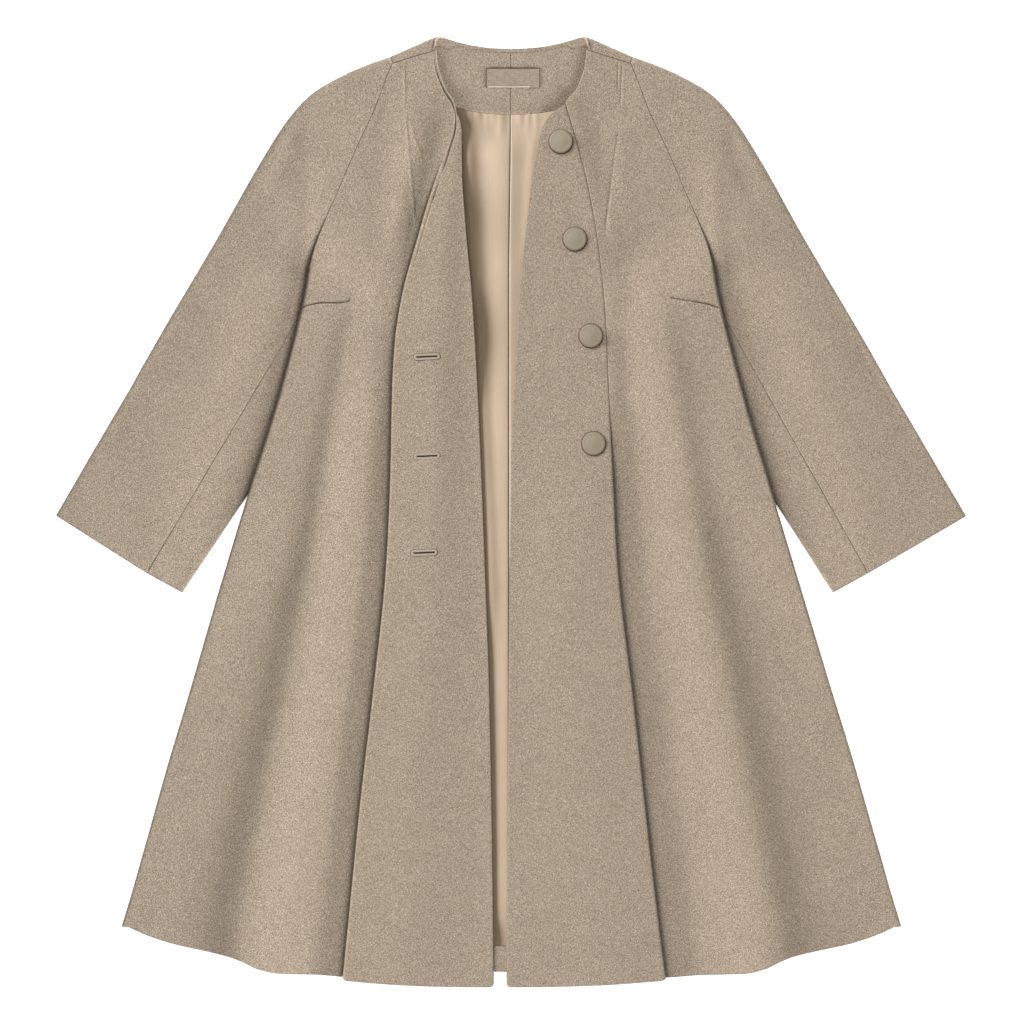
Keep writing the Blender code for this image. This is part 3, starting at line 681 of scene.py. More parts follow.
def side_front(side, material):
    """Rows from under the panel, over the skirt's ridge, to the fold at the side."""
    rows = []
    loose = []
    for inner_drop in spaced(SIDE_FRONT_SPACING, BODY_ROWS[-1].inner):
        outer_drop = follow(BODY_ROWS, inner_drop, "inner", "outer")
        roll = follow(BODY_ROWS, inner_drop, "inner", "roll")
        inner, fold = side_front_start(side, inner_drop)
        outer = side_edge(outer_drop)
        reach = outer - INSET
        start = max(fold, inner + 3)
        bend = bend_at(inner_drop)
        line = []
        free = []
        scale = min(1, 0.7 * (reach - start) / MIDDLE_REACH)
        fine, middle = start + FINE_REACH * scale, start + MIDDLE_REACH * scale
        places = even(inner, start, RETURN_COLUMNS)[:-1] + even(start, fine, FINE_COLUMNS)[:-1]
        places += even(fine, middle, MIDDLE_COLUMNS)[:-1] + even(middle, reach, FACE_COLUMNS)
        for across in places:
            share = (across - inner) / (outer - inner)
            drop = mix(inner_drop, outer_drop, share) + hem_shift(across, share, bend)
            line.append((across, drop, front_level(side, across, drop)))
            off_fold = ease((across - start - 3) / 12) if drop > 90 else ease((across - inner) / 6)
            free.append(off_fold * ease((reach - across) / 10))
        across, drop, level = line[-1]
        bottom = over_sleeve(outer, outer_drop) + REST
        radius = (level - bottom) / 2
        flat = (INSET - STITCHED / 2) * (1 - roll) ** ROLL_CURVE
        shift = roll * (INSET - REST - SIDE_FOLD + np.interp(outer_drop, SIDE_DROPS, SIDE_REACH[side]))
        side_drop = mix(outer_drop, drop, roll)
        for share in even(0, 1, FINE_ROLL_STEPS + 3)[1:]:
            turn = pi * roll * max((share - FOLD_STARTS) / (1 - FOLD_STARTS), 0)
            out = flat * share + shift * min(share / FOLD_STARTS, 1) + SIDE_FOLD * sin(turn)
            line.append((across + out, mix(drop, side_drop, share), level - radius * (1 - cos(turn))))
            free.append(0.0)
        rows.append(line)
        loose.append(free)
    grid = placed(rows, side)
    x, drop = grid[..., 0], MIDDLE - grid[..., 1]
    grid[..., 2] += np.array(loose) * (relief(FRONT_CREASES, x, drop) + uneven(x, drop))

    def pressed(x, drop, level):
        return relief(FRONT_LINES, x, drop)

    rim = Rim(0.7, 1.4, 1.1, 0.7)
    piece = shell("side_front_cloth_" + NAMES[side], grid, WOOL, material, side, rim, pressed)
    return declare(piece, "side_front_" + NAMES[side])


def front_panel(side, material):
    """Rows from the return under the pleat, round its fold and over the panel to the front edge."""
    top_fold = PANEL_FOLD[side][0].drop
    top_gap = FRONT_EDGE[side][0].drop - top_fold
    rows = []
    loose = []
    spacing = [Spacing(top_fold, 2.0), Spacing(120, 3.0), Spacing(984, 0.8)]
    for inner_drop in spaced(spacing, BODY_ROWS[-1].inner):
        fade = max(1 - (inner_drop - top_fold) / PANEL_TOP_FADE, 0) ** 2
        front_drop = inner_drop + top_gap * fade
        fold = follow(PANEL_FOLD[side], inner_drop)
        front = follow(FRONT_EDGE[side], front_drop)
        last = bend_at(inner_drop)
        centre = fold - REST - PLEAT_RADIUS
        depth = return_depth(side, inner_drop)
        high = fold_level(side, inner_drop)

        def drop_at(across):
            share = (fold - across) / (fold - front)
            inner_share = min(max(share, 0), 1)
            bow = -PANEL_TOP_BOW[side] * fade * inner_share ** 1.3 * (1 - inner_share) ** 0.5
            hem = mix(PANEL_HEM[0], PANEL_HEM[1], 1 - (1 - min(share, 1)) ** 2) - BODY_ROWS[-1].inner
            near_fold = min(max(1 - (fold - across) / FOLD_CORNER, 0), 1)
            corner = FOLD_CORNER * (1 - (1 - near_fold ** 2) ** 0.5) * ease((inner_drop - 974) / 14)
            return mix(inner_drop, front_drop, share) + bow + last * hem - corner

        width = centre - front
        near_fold = max(0.5 * step for step in range(9) if 0.5 * step < width / 4)
        insides = even(0, near_fold, 8)[1:] + even(near_fold, width, 56)[1:]
        line = [(centre - depth * share, high - PLEAT_STEP) for share in np.linspace(1, 0, 8)[:-1]]
        fold_turn = turned(high - PLEAT_STEP, high, FINE_ROLL_STEPS)
        line += [(centre + turn.radius, turn.height) for turn in fold_turn]
        free = [0.0] * len(line)
        for inside in insides:
            across = centre - inside
            line.append((across, panel_level(side, across, inner_drop)))
            free.append(ease((inside - 2) / 14) * ease((width - inside) / 8 + 0.25))
        line.reverse()
        free.reverse()
        rows.append([(across, drop_at(across), level) for across, level in line])
        loose.append(free)
    grid = placed(rows, side)
    x, drop = grid[..., 0], MIDDLE - grid[..., 1]
    soft = relief(FRONT_CREASES, x, drop) + uneven(x, drop)
    if side == LEFT:
        soft -= around_buttons(x, drop)
    grid[..., 2] += np.array(loose) * soft
    grid = rounded_corner(grid, HEM_CORNER, True, False)
    if side == RIGHT:
        grid = rounded_corner(grid, NECK_CORNER, False, False)

    def pressed(x, drop, level):
        upper_layer = eased((level - fold_level(side, 400) + PLEAT_STEP) / 1.5) if side == RIGHT else 1.0
        return relief(FRONT_LINES, x, drop) * np.maximum(upper_layer, eased((150 - drop) / 20))

    rim = Rim(1.0, 1.4, 1.2, 0.7)
    piece = shell("front_panel_cloth_" + NAMES[side], grid, WOOL, material, side, rim, pressed)
    if side == RIGHT:
        cut_buttonholes(piece)
    return declare(piece, "front_panel_" + NAMES[side])


def neck_stitching_shade(thread):
    """The sewn line in its groove beside the neckline's end and the top of the fold, its near-black thread
    painted shade for the groove.
    """
    spots = []
    route = np.array(NECK_STITCHING[3:15])
    for drop in even(route[0][1], route[-1][1], 88):
        x = float(np.interp(drop, route[:, 1], route[:, 0]))
        on_panel = drop > 79
        level = panel_level(RIGHT, -x, drop) if on_panel else front_level(RIGHT, -x, drop)
        spots.append((x, drop, level + REST - 0.55))
    cord("buttonhole_side_stitching_shade", spots, 0.34, 0.22, thread)


def seam_shade_threads(side, thread):
    """Thread deep in the raglan, shoulder and sleeve seams and the bust dart, near-black as painted shade
    for the seams.
    """
    runs = {"raglan": []}
    for drop in even(*RAGLAN_SHADE_THREAD, 60):
        edge = side_edge(drop)
        runs["raglan"].append((edge, drop, front_level(side, edge - INSET, drop) + RAGLAN_SHADE_THREAD_RISE))
    shoulder = [mix_points(*SHOULDER_SEAM, share) for share in even(0.02, 0.98, 12)]
    runs["shoulder"] = [(*spot, FRONT_LEVEL) for spot in shoulder]
    seam = []
    for step in range(2, 80):
        spot = sleeve_seam(side, step / 80)
        seam.append((*spot, sleeve_level(*spot, UPPER_SHARE, step / 80)))
    runs["sleeve"] = [(across, drop, level - 0.1) for across, drop, level in seam]
    dart = np.array(FRONT_LINES[-2 if side == RIGHT else -1].points)
    spots = []
    for step in range(31):
        at = (len(dart) - 1) * step / 30
        first = min(int(at), len(dart) - 2)
        x, drop = dart[first] + (dart[first + 1] - dart[first]) * (at - first)
        soft = relief(FRONT_CREASES, np.array([x]), np.array([drop]))[0] + uneven(x, drop)
        soft *= ease((side_edge(drop) - INSET - abs(x)) / 10)
        spots.append((abs(x), drop, front_level(side, abs(x), drop) + soft - 0.1))
    runs["dart"] = spots
    for name, run in runs.items():
        spots = [(side * across, drop, level + REST - 0.26) for across, drop, level in run]
        cord("seam_%s_%s" % (name, NAMES[side]), spots, 0.42, 0.2, thread)


def around_buttons(x, drop):
    """The shallow dip that each button presses into the cloth round it."""
    dip = np.zeros_like(x)
    for spot in BUTTON_SPOTS:
        away = np.hypot(x - spot[0], drop - spot[1])
        dip += DIP_DEPTH * np.exp(-((away - DIP_RADIUS) / DIP_WIDTH) ** 2)
    return dip


def stadium(half_length, radius, steps):
    """Points round a slot: (x, y, direction out)."""
    spots = []
    for way in (1, -1):
        for step in range(steps + 1):
            turn = way * pi / 2 - pi * step / steps
            spots.append((way * half_length + radius * cos(turn), radius * sin(turn), turn))
    return spots


def beside_buttonhole(x, drop, a, b):
    """A point beside a buttonhole's middle, turned with it, as (x, drop)."""
    across = x + a * cos(BUTTONHOLE_TILT) - b * sin(BUTTONHOLE_TILT)
    return across, drop - a * sin(BUTTONHOLE_TILT) - b * cos(BUTTONHOLE_TILT)


def cut_buttonholes(panel):
    for number, (x, drop) in enumerate(BUTTONHOLE_SPOTS, start=1):
        outline = stadium(BUTTONHOLE[0] / 2 - BUTTONHOLE[1] / 2, BUTTONHOLE[1] / 2, 6)
        count = len(outline)
        low = BUTTONHOLE_FLOOR + PLEAT_RISE[RIGHT]
        vertices = []
        for level in (low, low + 8):
            for a, b, _ in outline:
                across, down = beside_buttonhole(x, drop, a, b)
                vertices.append((across / 1000, (MIDDLE - down) / 1000, level / 1000))
        mesh = bpy.data.meshes.new("slit_%d" % number)
        mesh.from_pydata(vertices, [], tube(2, count))
        cutter = bpy.data.objects.new(mesh.name, mesh)
        bpy.context.collection.objects.link(cutter)
        cut = panel.modifiers.new("Slit %d" % number, "BOOLEAN")
        cut.operation = "DIFFERENCE"
        cut.solver = "EXACT"
        cut.object = cutter
        bpy.context.view_layer.objects.active = panel
        bpy.ops.object.modifier_apply(modifier=cut.name)
        bpy.data.objects.remove(cutter, do_unlink=True)


def buttonhole_spot(x, drop, a, b, height):
    """The same point on the panel's face, as (x, drop, level)."""
    across, down = beside_buttonhole(x, drop, a, b)
    return across, down, panel_level(RIGHT, -across, down) + REST + height


def buttonhole_stitches(number, x, drop, thread, line, dark):
    """A ring of close stitches round a buttonhole, with a painted shade line round it and a painted shadow
    cord in its slit.
    """
    half = BUTTONHOLE[0] / 2 - 0.4
    outline = stadium(half, 2.1, 14)
    lengths = [0.0]
    count = len(outline)
    for i in range(count):
        a, b = outline[i], outline[(i + 1) % count]
        lengths.append(lengths[-1] + hypot(b[0] - a[0], b[1] - a[1]))
    steps = int(lengths[-1] / 0.22)
    vertices = []
    for step in range(steps):
        at = lengths[-1] * step / steps
        i = max(k for k in range(count) if lengths[k] <= at)
        share = (at - lengths[i]) / (lengths[i + 1] - lengths[i])
        a, b = outline[i], outline[(i + 1) % count]
        px, py = mix(a[0], b[0], share), mix(a[1], b[1], share)
        far = hypot(max(abs(px) - outline[0][0], 0), py)
        out = (max(abs(px) - half, 0) * (1 if px > 0 else -1) / far, py / far)
        thick = 1 + 0.16 * sin(2 * pi * at / STITCH_LENGTH)
        for turn in turns(STITCH_SIDES):
            wide = 1.25 * thick * cos(turn)
            tall = 0.1 + 0.62 * thick * sin(turn)
            spot = buttonhole_spot(x, drop, px + out[0] * wide, py + out[1] * wide, tall)
            vertices.append((spot[0], MIDDLE - spot[1], spot[2]))
    faces = tube(steps, STITCH_SIDES, closed=True)
    piece = mesh_object("buttonhole_stitches_%d" % number, vertices, faces, thread)
    # A dark cord round the stitches: painted shade for the groove round the ring.
    edge = stadium(half, 3.45, 10)
    edge.append(edge[0])
    spots = [buttonhole_spot(x, drop, a, b, 0.05) for a, b, _ in edge]
    cord("buttonhole_shade_line_%d" % number, spots, 0.42, 0.2, line)
    # A near-black cord laid along the slit: painted shadow for the shade inside the slit.
    slit_shadow_path = [(share * (half + 0.1), 0.12 * sin(step)) for step, share in enumerate(even(-1, 1, 12))]
    spots = [buttonhole_spot(x, drop, a, b, 0.12) for a, b in slit_shadow_path]
    cord("buttonhole_slit_shadow_%d" % number, spots, 0.95, 0.35, dark)


# Back

def roll_at(column):
    return ease((column - NECK_ROLL[0]) / (NECK_ROLL[1] - NECK_ROLL[0]))


def neck_drop(across):
    return NECK_DEPTH * (1 - (abs(across) / NECK_HALF) ** 2.2)


def back_hem_drop(across):
    return BACK_HEM - (BACK_HEM - SIDE_HEM) * (across / HEM_HALF) ** 2


def back_top(column):
    """The back's top edge, the seam that it is sewn to, and how far it rolls over onto the front."""
    across = SHOULDER_TIP[0] * column
    neck_end = NECK_HALF / SHOULDER_TIP[0]
    softened = 1.3 * max(1 - abs(across - NECK_HALF) / NECK_POINT_SOFTNESS, 0) ** 2 - TOP_REACH
    if column < neck_end:
        edge = (across, neck_drop(across) + softened)
        return edge, (across, edge[1] + SHOULDER_SEAM[0][1]), roll_at(column)
    share = (column - neck_end) / (1 - neck_end)
    edge = (across, mix(0, SHOULDER_TIP[1], share) + softened)
    return edge, mix_points(*SHOULDER_SEAM, share), roll_at(column)


def back(side, material):
    """Rows from the shoulder seam, over the shoulder's roll and down the back to its hem."""
    columns = [column for column in even(0, 1, 90) if not NECK_ROLL[0] < column < NECK_ROLL[1]]
    columns = sorted(columns + even(*NECK_ROLL, 9))
    tops = [back_top(column) for column in columns]
    rows = []
    for step in range(FINE_ROLL_STEPS + 5, -1, -1):
        arc = min(step, FINE_ROLL_STEPS) / FINE_ROLL_STEPS
        run = max(step - FINE_ROLL_STEPS, 0) / 5
        line = []
        for edge, seam, roll in tops:
            length = hypot(seam[0] - edge[0], seam[1] - edge[1]) - INSET - STITCHED / 2
            turn = pi * roll * arc
            out = INSET * (1 - roll) ** ROLL_CURVE * (0.9 * arc + 0.1 * run) + EDGE_ROLL * sin(turn)
            past = length * run * roll ** 3
            inwards = INSET - out - past * cos(turn)
            level = REST + EDGE_ROLL * (1 - cos(turn)) + past * sin(turn)
            line.append((*towards(edge, seam, inwards), level))
        rows.append(line)
    first = BODY_ROWS[0].outer
    for outer_drop in spaced([Spacing(36, 8.0), Spacing(925, 2.0)], SIDE_HEM):
        inner_drop = follow(BODY_ROWS, outer_drop, "outer", "inner")
        centre = mix(NECK_DEPTH, BACK_HEM, (outer_drop - first) / (SIDE_HEM - first))
        roll = follow(BODY_ROWS, outer_drop, "outer", "roll")
        outer = side_edge(outer_drop) - mix(STITCHED / 2, INSET + SIDE_GAP, roll)
        fade = 1 - ease((outer_drop - first) / SHOULDER_FADE)
        bend = bend_at(inner_drop)
        line = []
        for column, (edge, _, _) in zip(columns, tops):
            across = mix(STITCHED / 2, outer, column)
            bow = fade * (edge[1] - mix(NECK_DEPTH, SHOULDER_TIP[1], column))
            hem = bend * (back_hem_drop(across) - mix(BACK_HEM, SIDE_HEM, column))
            drop = mix(centre, outer_drop, column) + bow + hem
            line.append((across, drop, over_sleeve(across, drop) + REST))
        rows.append(line)
    for line in rows:
        line[0] = (STITCHED / 2, *line[0][1:])
    grid = placed(rows, side)
    piece = shell("back_cloth_" + NAMES[side], grid, WOOL, material, side, Rim(1.0, 1.2, 0.7, 1.0))
    return declare(piece, "back_" + NAMES[side])


def facing_edge(across):
    return FACING_DEPTH - FACING_BOW * (across / FACING_BOW_HALF) ** 2


def back_neck_facing(material):
    columns = even(-FACING_HALF, FACING_HALF, 150)
    columns = sorted(columns + [CENTRE_SEAM + step * 0.35 for step in range(-6, 7)])
    rows = []
    for share in even(0, 1, 30):
        line = []
        for x in columns:
            past_neck = max(abs(x) - NECK_HALF, 0) / (SHOULDER_TIP[0] - NECK_HALF)
            top = neck_drop(min(abs(x), NECK_HALF)) + SHOULDER_TIP[1] * past_neck + FACING_TOP_INSET
            corner = (abs(x) - FACING_CORNER[0]) / (FACING_CORNER[1] - FACING_CORNER[0])
            top += FACING_CORNER_INSET * ease(corner)
            line.append((x, mix(top, facing_edge(x), share), INNER_LAYER + FACING / 2))
        rows.append(line)
    grid = placed(rows, LEFT)

    def seam(x, drop, level):
        return -0.9 * np.exp(-((x - CENTRE_SEAM) / 0.45) ** 2) + 0.25 * uneven(x, drop)

    piece = shell("neck_facing_cloth", grid, FACING, material, LEFT, Rim(1.2, 0.9, 0.9, 0.9), seam)
    return declare(piece, "back_neck_facing")


def back_neck_label(material, dark, pale):
    across, drop = LABEL_CENTRE
    half = (LABEL_SIZE[0] / 2, LABEL_SIZE[1] / 2)
    level = INNER_LAYER + FACING + SEAM + LABEL / 2
    rows = [
        [(across + aside, drop + down, level) for aside in even(-half[0], half[0], 40)]
        for down in even(-half[1], half[1], 14)
    ]
    grid = placed(rows, LEFT)

    def hemmed(x, drop, level):
        side_gap = half[0] - np.abs(x - across)
        end_gap = half[1] - np.abs(drop - LABEL_CENTRE[1])
        gap = np.minimum(side_gap, end_gap)
        return 0.12 * np.exp(-((gap - 0.4) / 0.5) ** 2)

    piece = shell("neck_label_tape", grid, LABEL, material, LEFT, Rim(0.3, 0.3, 0.3, 0.3), hemmed)
    declare(piece, "back_neck_label")
    top = level + LABEL / 2
    ends = ((-1, 1), (-1, -1), (1, -1), (1, 1))
    corners = [(across + a * half[0], drop + b * half[1], top) for a, b in ends]
    # A dark cord round the label's sides and top: painted shadow of its edges.
    cord("label_outline_shadow", corners, 0.32, 0.22, dark)
    # A pale cord just inside the label's bottom edge: painted highlight where that edge catches the light.
    low = [(across + share * half[0], drop + half[1] - 1.3, top) for share in (-0.93, 0.62)]
    cord("label_edge_bottom", low, 0.5, 0.35, pale)
    # A dark cord along the label's bottom edge: painted shadow beneath it.
    cord("label_edge_under", corners[::3], 0.25, 0.18, dark)


def centre_back_line(drop):
    return mix(-1.0, -2.6, ease((drop - 90) / 170))


def back_lining(side, material):
    """The satin from the facing to the hem's turn-up, with its puckers, folds and centre line."""
    rows = []
    for below in spaced([Spacing(0, 1.5), Spacing(70, 5.0)], LINING_LENGTH):
        share = below / LINING_LENGTH
        centre_drop = FACING_DEPTH + below
        inner = side * centre_back_line(centre_drop) + SATIN_SEAM / 2
        outer = follow(LINING_EDGE, centre_drop)
        line = []
        places = [inner, inner + 0.9] + [inner + 1.4 * step for step in range(1, 48)]
        places += [mix(inner + 65.8, outer, hidden) for hidden in (0.3, 0.65, 1)]
        for across in places:
            top = facing_edge(across) + SEAM
            bottom = back_hem_drop(across) - TURN_UP - SEAM
            drop = mix(top, bottom, share)
            pucker = sum(
                gather.height * exp(-((side * across - gather.x) / gather.width) ** 2)
                * (1 - ease((drop - top) / gather.length))
                for gather in PUCKERS
            )
            line.append((across, drop, INNER_LAYER + SATIN / 2 + pucker))
        rows.append(line)
    grid = placed(rows, side)
    x, drop = grid[..., 0], MIDDLE - grid[..., 1]
    valley = np.exp(-((x - grid[:, :1, 0]) / 0.9) ** 2)
    low = eased((drop - FACING_DEPTH - 2) / 16)
    grid[..., 2] += (1 - 0.1 * valley) * low * np.maximum(relief(LINING_CREASES, x, drop), 0)
    rim = Rim(0.4, 0.5, 0.3, 0.5)
    piece = shell("lining_satin_" + NAMES[side], grid, SATIN, material, side, rim)
    return declare(piece, "back_lining_" + NAMES[side])


def back_hem_turn_up(material):
    columns = [TURN_UP_HALF * place / 100 for place in range(-100, 101)]
    rows = [
        [(x, back_hem_drop(x) - depth, INNER_LAYER + FACING / 2) for x in columns]
        for depth in even(TURN_UP, 0.5, 8)
    ]
    grid = placed(rows, LEFT)
    piece = shell("hem_turn_up_cloth", grid, FACING, material, LEFT, Rim(0.9, 0.9, 0.9, 0.9))
    return declare(piece, "back_hem_turn_up")


# Sleeves

def sleeve_level(across, drop, width_share, length_share):
    """The sleeve's upper layer, lofted along its middle and pressed flat where the body covers it."""
    level = FRONT_LEVEL + SLEEVE_LOFT * sin(pi * width_share) * ease(length_share / 0.25)
    inside = side_edge(drop) - across
    tucked = climb(TUCKED_BESIDE, inside) * climb(TUCKED_BELOW, drop)
    return mix(level, TUCKED_LEVEL, tucked)


def patch(top, bottom, inner, outer, column, row):
    """A point between four edges: the two ways across it, less the straight mix of its corners."""
    across_rows = mix_points(inner, outer, column)
    down_columns = mix_points(top[1], bottom[1], row)
    top_corners, bottom_corners = (mix_points(line[0], line[2], column) for line in (top, bottom))
    corners = mix_points(top_corners, bottom_corners, row)
    return tuple(a + b - c for a, b, c in zip(across_rows, down_columns, corners))


def shifted(spot, side):
    return (spot[0] + CUFF_SHIFT[side], spot[1])


def sleeve_seam(side, share):
    corner = (RAGLAN[-1].across, RAGLAN[-1].drop)
    return along([corner, (225.5, 297.0), shifted(CUFF_SEAM, side)], share)


def raglan_points():
    drops = even(RAGLAN[0].drop, RAGLAN[-1].drop, 80)
    return [(side_edge(drop) + STITCHED / 2, drop) for drop in drops]


def edge_and_way_in(line, share, inwards):
    """The point at a share of a line, and the direction square to it."""
    here = along(line, share)
    before, after = along(line, max(share - 0.02, 0)), along(line, min(share + 0.02, 1))
    run = (after[0] - before[0], after[1] - before[1])
    size = hypot(*run)
    return here, (-inwards * run[1] / size, inwards * run[0] / size)


def moved(spot, way, distance):
    return spot[0] + way[0] * distance, spot[1] + way[1] * distance


def clear_of_body(spot):
    """How free a point of a sleeve is of the body that lies over it, from 0 to 1."""
    return ease((spot[0] - side_edge(spot[1]) + 2) / 14)


def soften_sleeve(rows, loose, side):
    grid = placed(rows, side)
    across, drop = np.abs(grid[..., 0]), MIDDLE - grid[..., 1]
    soft = relief(SLEEVE_CREASES, across, drop) + uneven(across + side * 40, drop)
    grid[..., 2] += np.array(loose) * soft
    return grid


def sleeve_upper(side, material):
    """Rows down the arm, each from the lower layer, round the outer fold and over to the seam."""
    fold_line = line_of(OVERARM)
    raglan = raglan_points()
    columns = even(0, 1, 70)
    tops = [along(raglan, column) for column in columns]
    cuff_fold, way = edge_and_way_in(fold_line, 1, 1)
    cuff_start = moved(cuff_fold, way, INSET)
    cuff_end = towards(shifted(CUFF_SEAM, side), CUFF_OUTER, STITCHED / 2)
    rows = []
    loose = []
    for share in spaced(SLEEVE_SPACING, 1.0):
        fold, way = edge_and_way_in(fold_line, max(share, SLEEVE_START), 1)
        start = moved(fold, way, INSET)
        sewn = mix_points(raglan[0], start, ease(share / 0.03))
        end = towards(sleeve_seam(side, share), fold, STITCHED / 2) if share > 0.004 else raglan[-1]
        upper = []
        free = []
        for column, top in zip(columns, tops):
            bottom = mix_points(cuff_start, cuff_end, column)
            cuff = (cuff_start, bottom, cuff_end)
            spot = patch((raglan[0], top, raglan[-1]), cuff, sewn, end, column, share)
            upper.append((*spot, sleeve_level(*spot, UPPER_SHARE * column, share)))
            free.append(ease(column / 0.08) * ease(share / 0.03) * clear_of_body(spot))
        reach = 1 + np.interp(share, ARM_SHARES, ARM_REACH[side]) / EDGE_ROLL
        slip = 1.4 * (1 - ease(share / 0.006))
        root = (start[0] - way[1] * slip, start[1] + way[0] * slip)
        fold_turn = turned(REST, upper[0][2], FINE_ROLL_STEPS)[1:-1]
        roll = [(*moved(root, way, -turn.radius * reach), turn.height) for turn in fold_turn]
        lower = [(across, drop, REST) for across, drop, _ in reversed(upper)][::2]
        rows.append((lower + roll + upper)[::-1])
        loose.append(([0.0] * (len(lower) + len(roll)) + free)[::-1])
    grid = soften_sleeve(rows, loose, side)
    piece = shell("sleeve_upper_cloth_" + NAMES[side], grid, WOOL, material, side, SLEEVE_RIM)
    return declare(piece, "sleeve_upper_" + NAMES[side])


def sleeve_under(side, material):
    """Rows down the arm, each from the seam over to the inner fold and back below."""
    fold_line = [ARMPIT, shifted(CUFF_INNER, side)]
    corner = raglan_points()[-1]
    rows = []
    loose = []
    for share in spaced([Spacing(0.0, 0.0135), Spacing(0.985, 0.0035)], 1.0):
        fold, way = edge_and_way_in(fold_line, share, -1)
        fold_level_here = sleeve_level(*fold, 1, share)
        radius = (fold_level_here - REST) / 2
        end = moved(fold, way, REST + radius)
        start = towards(sleeve_seam(side, share), fold, STITCHED / 2)
        if share == 0:
            start = towards(corner, fold, STITCHED)
        upper = []
        free = []
        for column in even(0, 1, 28):
            spot = mix_points(start, end, column)
            level = sleeve_level(*spot, mix(UPPER_SHARE, 1, column), share)
            upper.append((*spot, mix(level, fold_level_here, ease((column - 0.6) / 0.4))))
            free.append(ease((1 - column) / 0.12) * ease(share / 0.03) * clear_of_body(spot))
        fold_turn = turned(fold_level_here, REST, FINE_ROLL_STEPS)[1:-1]
        roll = [(*moved(end, way, turn.radius), turn.height) for turn in fold_turn]
        lower = [(across, drop, REST) for across, drop, _ in reversed(upper)][::2]
        rows.append((upper + roll + lower)[::-1])
        loose.append((free + [0.0] * (len(lower) + len(roll)))[::-1])
    grid = soften_sleeve(rows, loose, side)
    piece = shell("sleeve_under_cloth_" + NAMES[side], grid, WOOL, material, side, SLEEVE_RIM)
    return declare(piece, "sleeve_under_" + NAMES[side])


# Buttons

BUTTON_PROFILE = [
    (4.0, 0), (4.0, 1.1), (10.6, 1.2), (11.7, 1.5), (12.3, 2.2), (12.5, 3.0), (12.35, 3.7), (11.9, 4.3),
    (11.1, 4.65), (10.2, 4.72), (9.3, 4.66), (8.2, 4.74), (6.0, 4.92), (3.0, 5.06), (1.0, 5.1),
]
BUTTON_SIDES = 72
# The painted shadow line round a button's foot, as a radius
BUTTON_SHADOW_RING = 12.75


def button(number, x, drop, material, shadow_thread):
    """A smooth turned button, raised a little in the middle inside a soft rim."""
    reach = 4.0
    inner, outer = (panel_level(LEFT, x + way * reach, drop) for way in (-1, 1))
    level = max(inner, outer) + REST + SEAM
    lean = (outer - inner) / (2 * reach)
    vertices = []
    for radius, height in BUTTON_PROFILE:
        for turn in turns(BUTTON_SIDES):
            a, b = radius * cos(turn), radius * sin(turn)
            vertices.append((x + a - lean * height, MIDDLE - drop + b, level + height + lean * a))
    faces = tube(len(BUTTON_PROFILE), BUTTON_SIDES)
    piece = mesh_object("resin_button_%d" % number, vertices, faces, material)
    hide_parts("button_%d" % number)
    # A dark cord round the button's foot: painted shadow where the button shades the cloth.
    ring = []
    for step in range(61):
        turn = 2 * pi * step / 60
        across, down = x + BUTTON_SHADOW_RING * cos(turn), drop - BUTTON_SHADOW_RING * sin(turn)
        ring.append((across, down, panel_level(LEFT, across, down) + REST - 0.1))
    cord("resin_shadow_ring_%d" % number, ring, 0.5, 0.35, shadow_thread)


# Materials

class Nodes:
    """A material's node tree, built one node at a time."""

    def __init__(self, name):
        self.material = bpy.data.materials.new(name)
        self.material.use_nodes = True
        self.tree = self.material.node_tree
        self.shader = self.tree.nodes["Principled BSDF"]
        self.place = self.add("ShaderNodeTexCoord").outputs["Object"]

    def add(self, kind, **settings):
        node = self.tree.nodes.new(kind)
        for key, value in settings.items():
            setattr(node, key, value)
        return node

    def link(self, start, end):
        self.tree.links.new(start, end)

    def stretched(self, scale):
        node = self.add("ShaderNodeMapping")
        node.inputs["Scale"].default_value = scale
        self.link(self.place, node.inputs["Vector"])
        return node.outputs["Vector"]

    def noise(self, scale, detail=2.0, rough=0.5, distortion=0.0, place=None):
        node = self.add("ShaderNodeTexNoise")
        node.inputs["Scale"].default_value = scale
        node.inputs["Detail"].default_value = detail
        node.inputs["Roughness"].default_value = rough
        node.inputs["Distortion"].default_value = distortion
        self.link(place or self.place, node.inputs["Vector"])
        return node.outputs["Fac"]

    def ramp(self, value, stops):
        node = self.add("ShaderNodeValToRGB")
        elements = node.color_ramp.elements
        while len(elements) < len(stops):
            elements.new(0.5)
        for element, (place, colour) in zip(elements, stops):
            element.position = place
            element.color = (*colour, 1)
        self.link(value, node.inputs["Fac"])
        return node.outputs["Color"]

    def blend(self, kind, share, first, second):
        node = self.add("ShaderNodeMix", data_type="RGBA", blend_type=kind)
        node.inputs["Factor"].default_value = share
        self.link(first, node.inputs["A"])
        self.link(second, node.inputs["B"])
        return node.outputs["Result"]

    def maths(self, kind, first, second):
        node = self.add("ShaderNodeMath", operation=kind)
        for value, socket in zip((first, second), node.inputs):
            if isinstance(value, (int, float)):
                socket.default_value = value
            else:
                self.link(value, socket)
        return node.outputs["Value"]

    def bump(self, height, distance, strength=1.0):
        node = self.add("ShaderNodeBump")
        node.inputs["Strength"].default_value = strength
        node.inputs["Distance"].default_value = distance
        self.link(height, node.inputs["Height"])
        self.link(node.outputs["Normal"], self.shader.inputs["Normal"])

    def finish(self, **values):
        for name, value in values.items():
            self.shader.inputs[name.replace("_", " ")].default_value = value
        return self.material


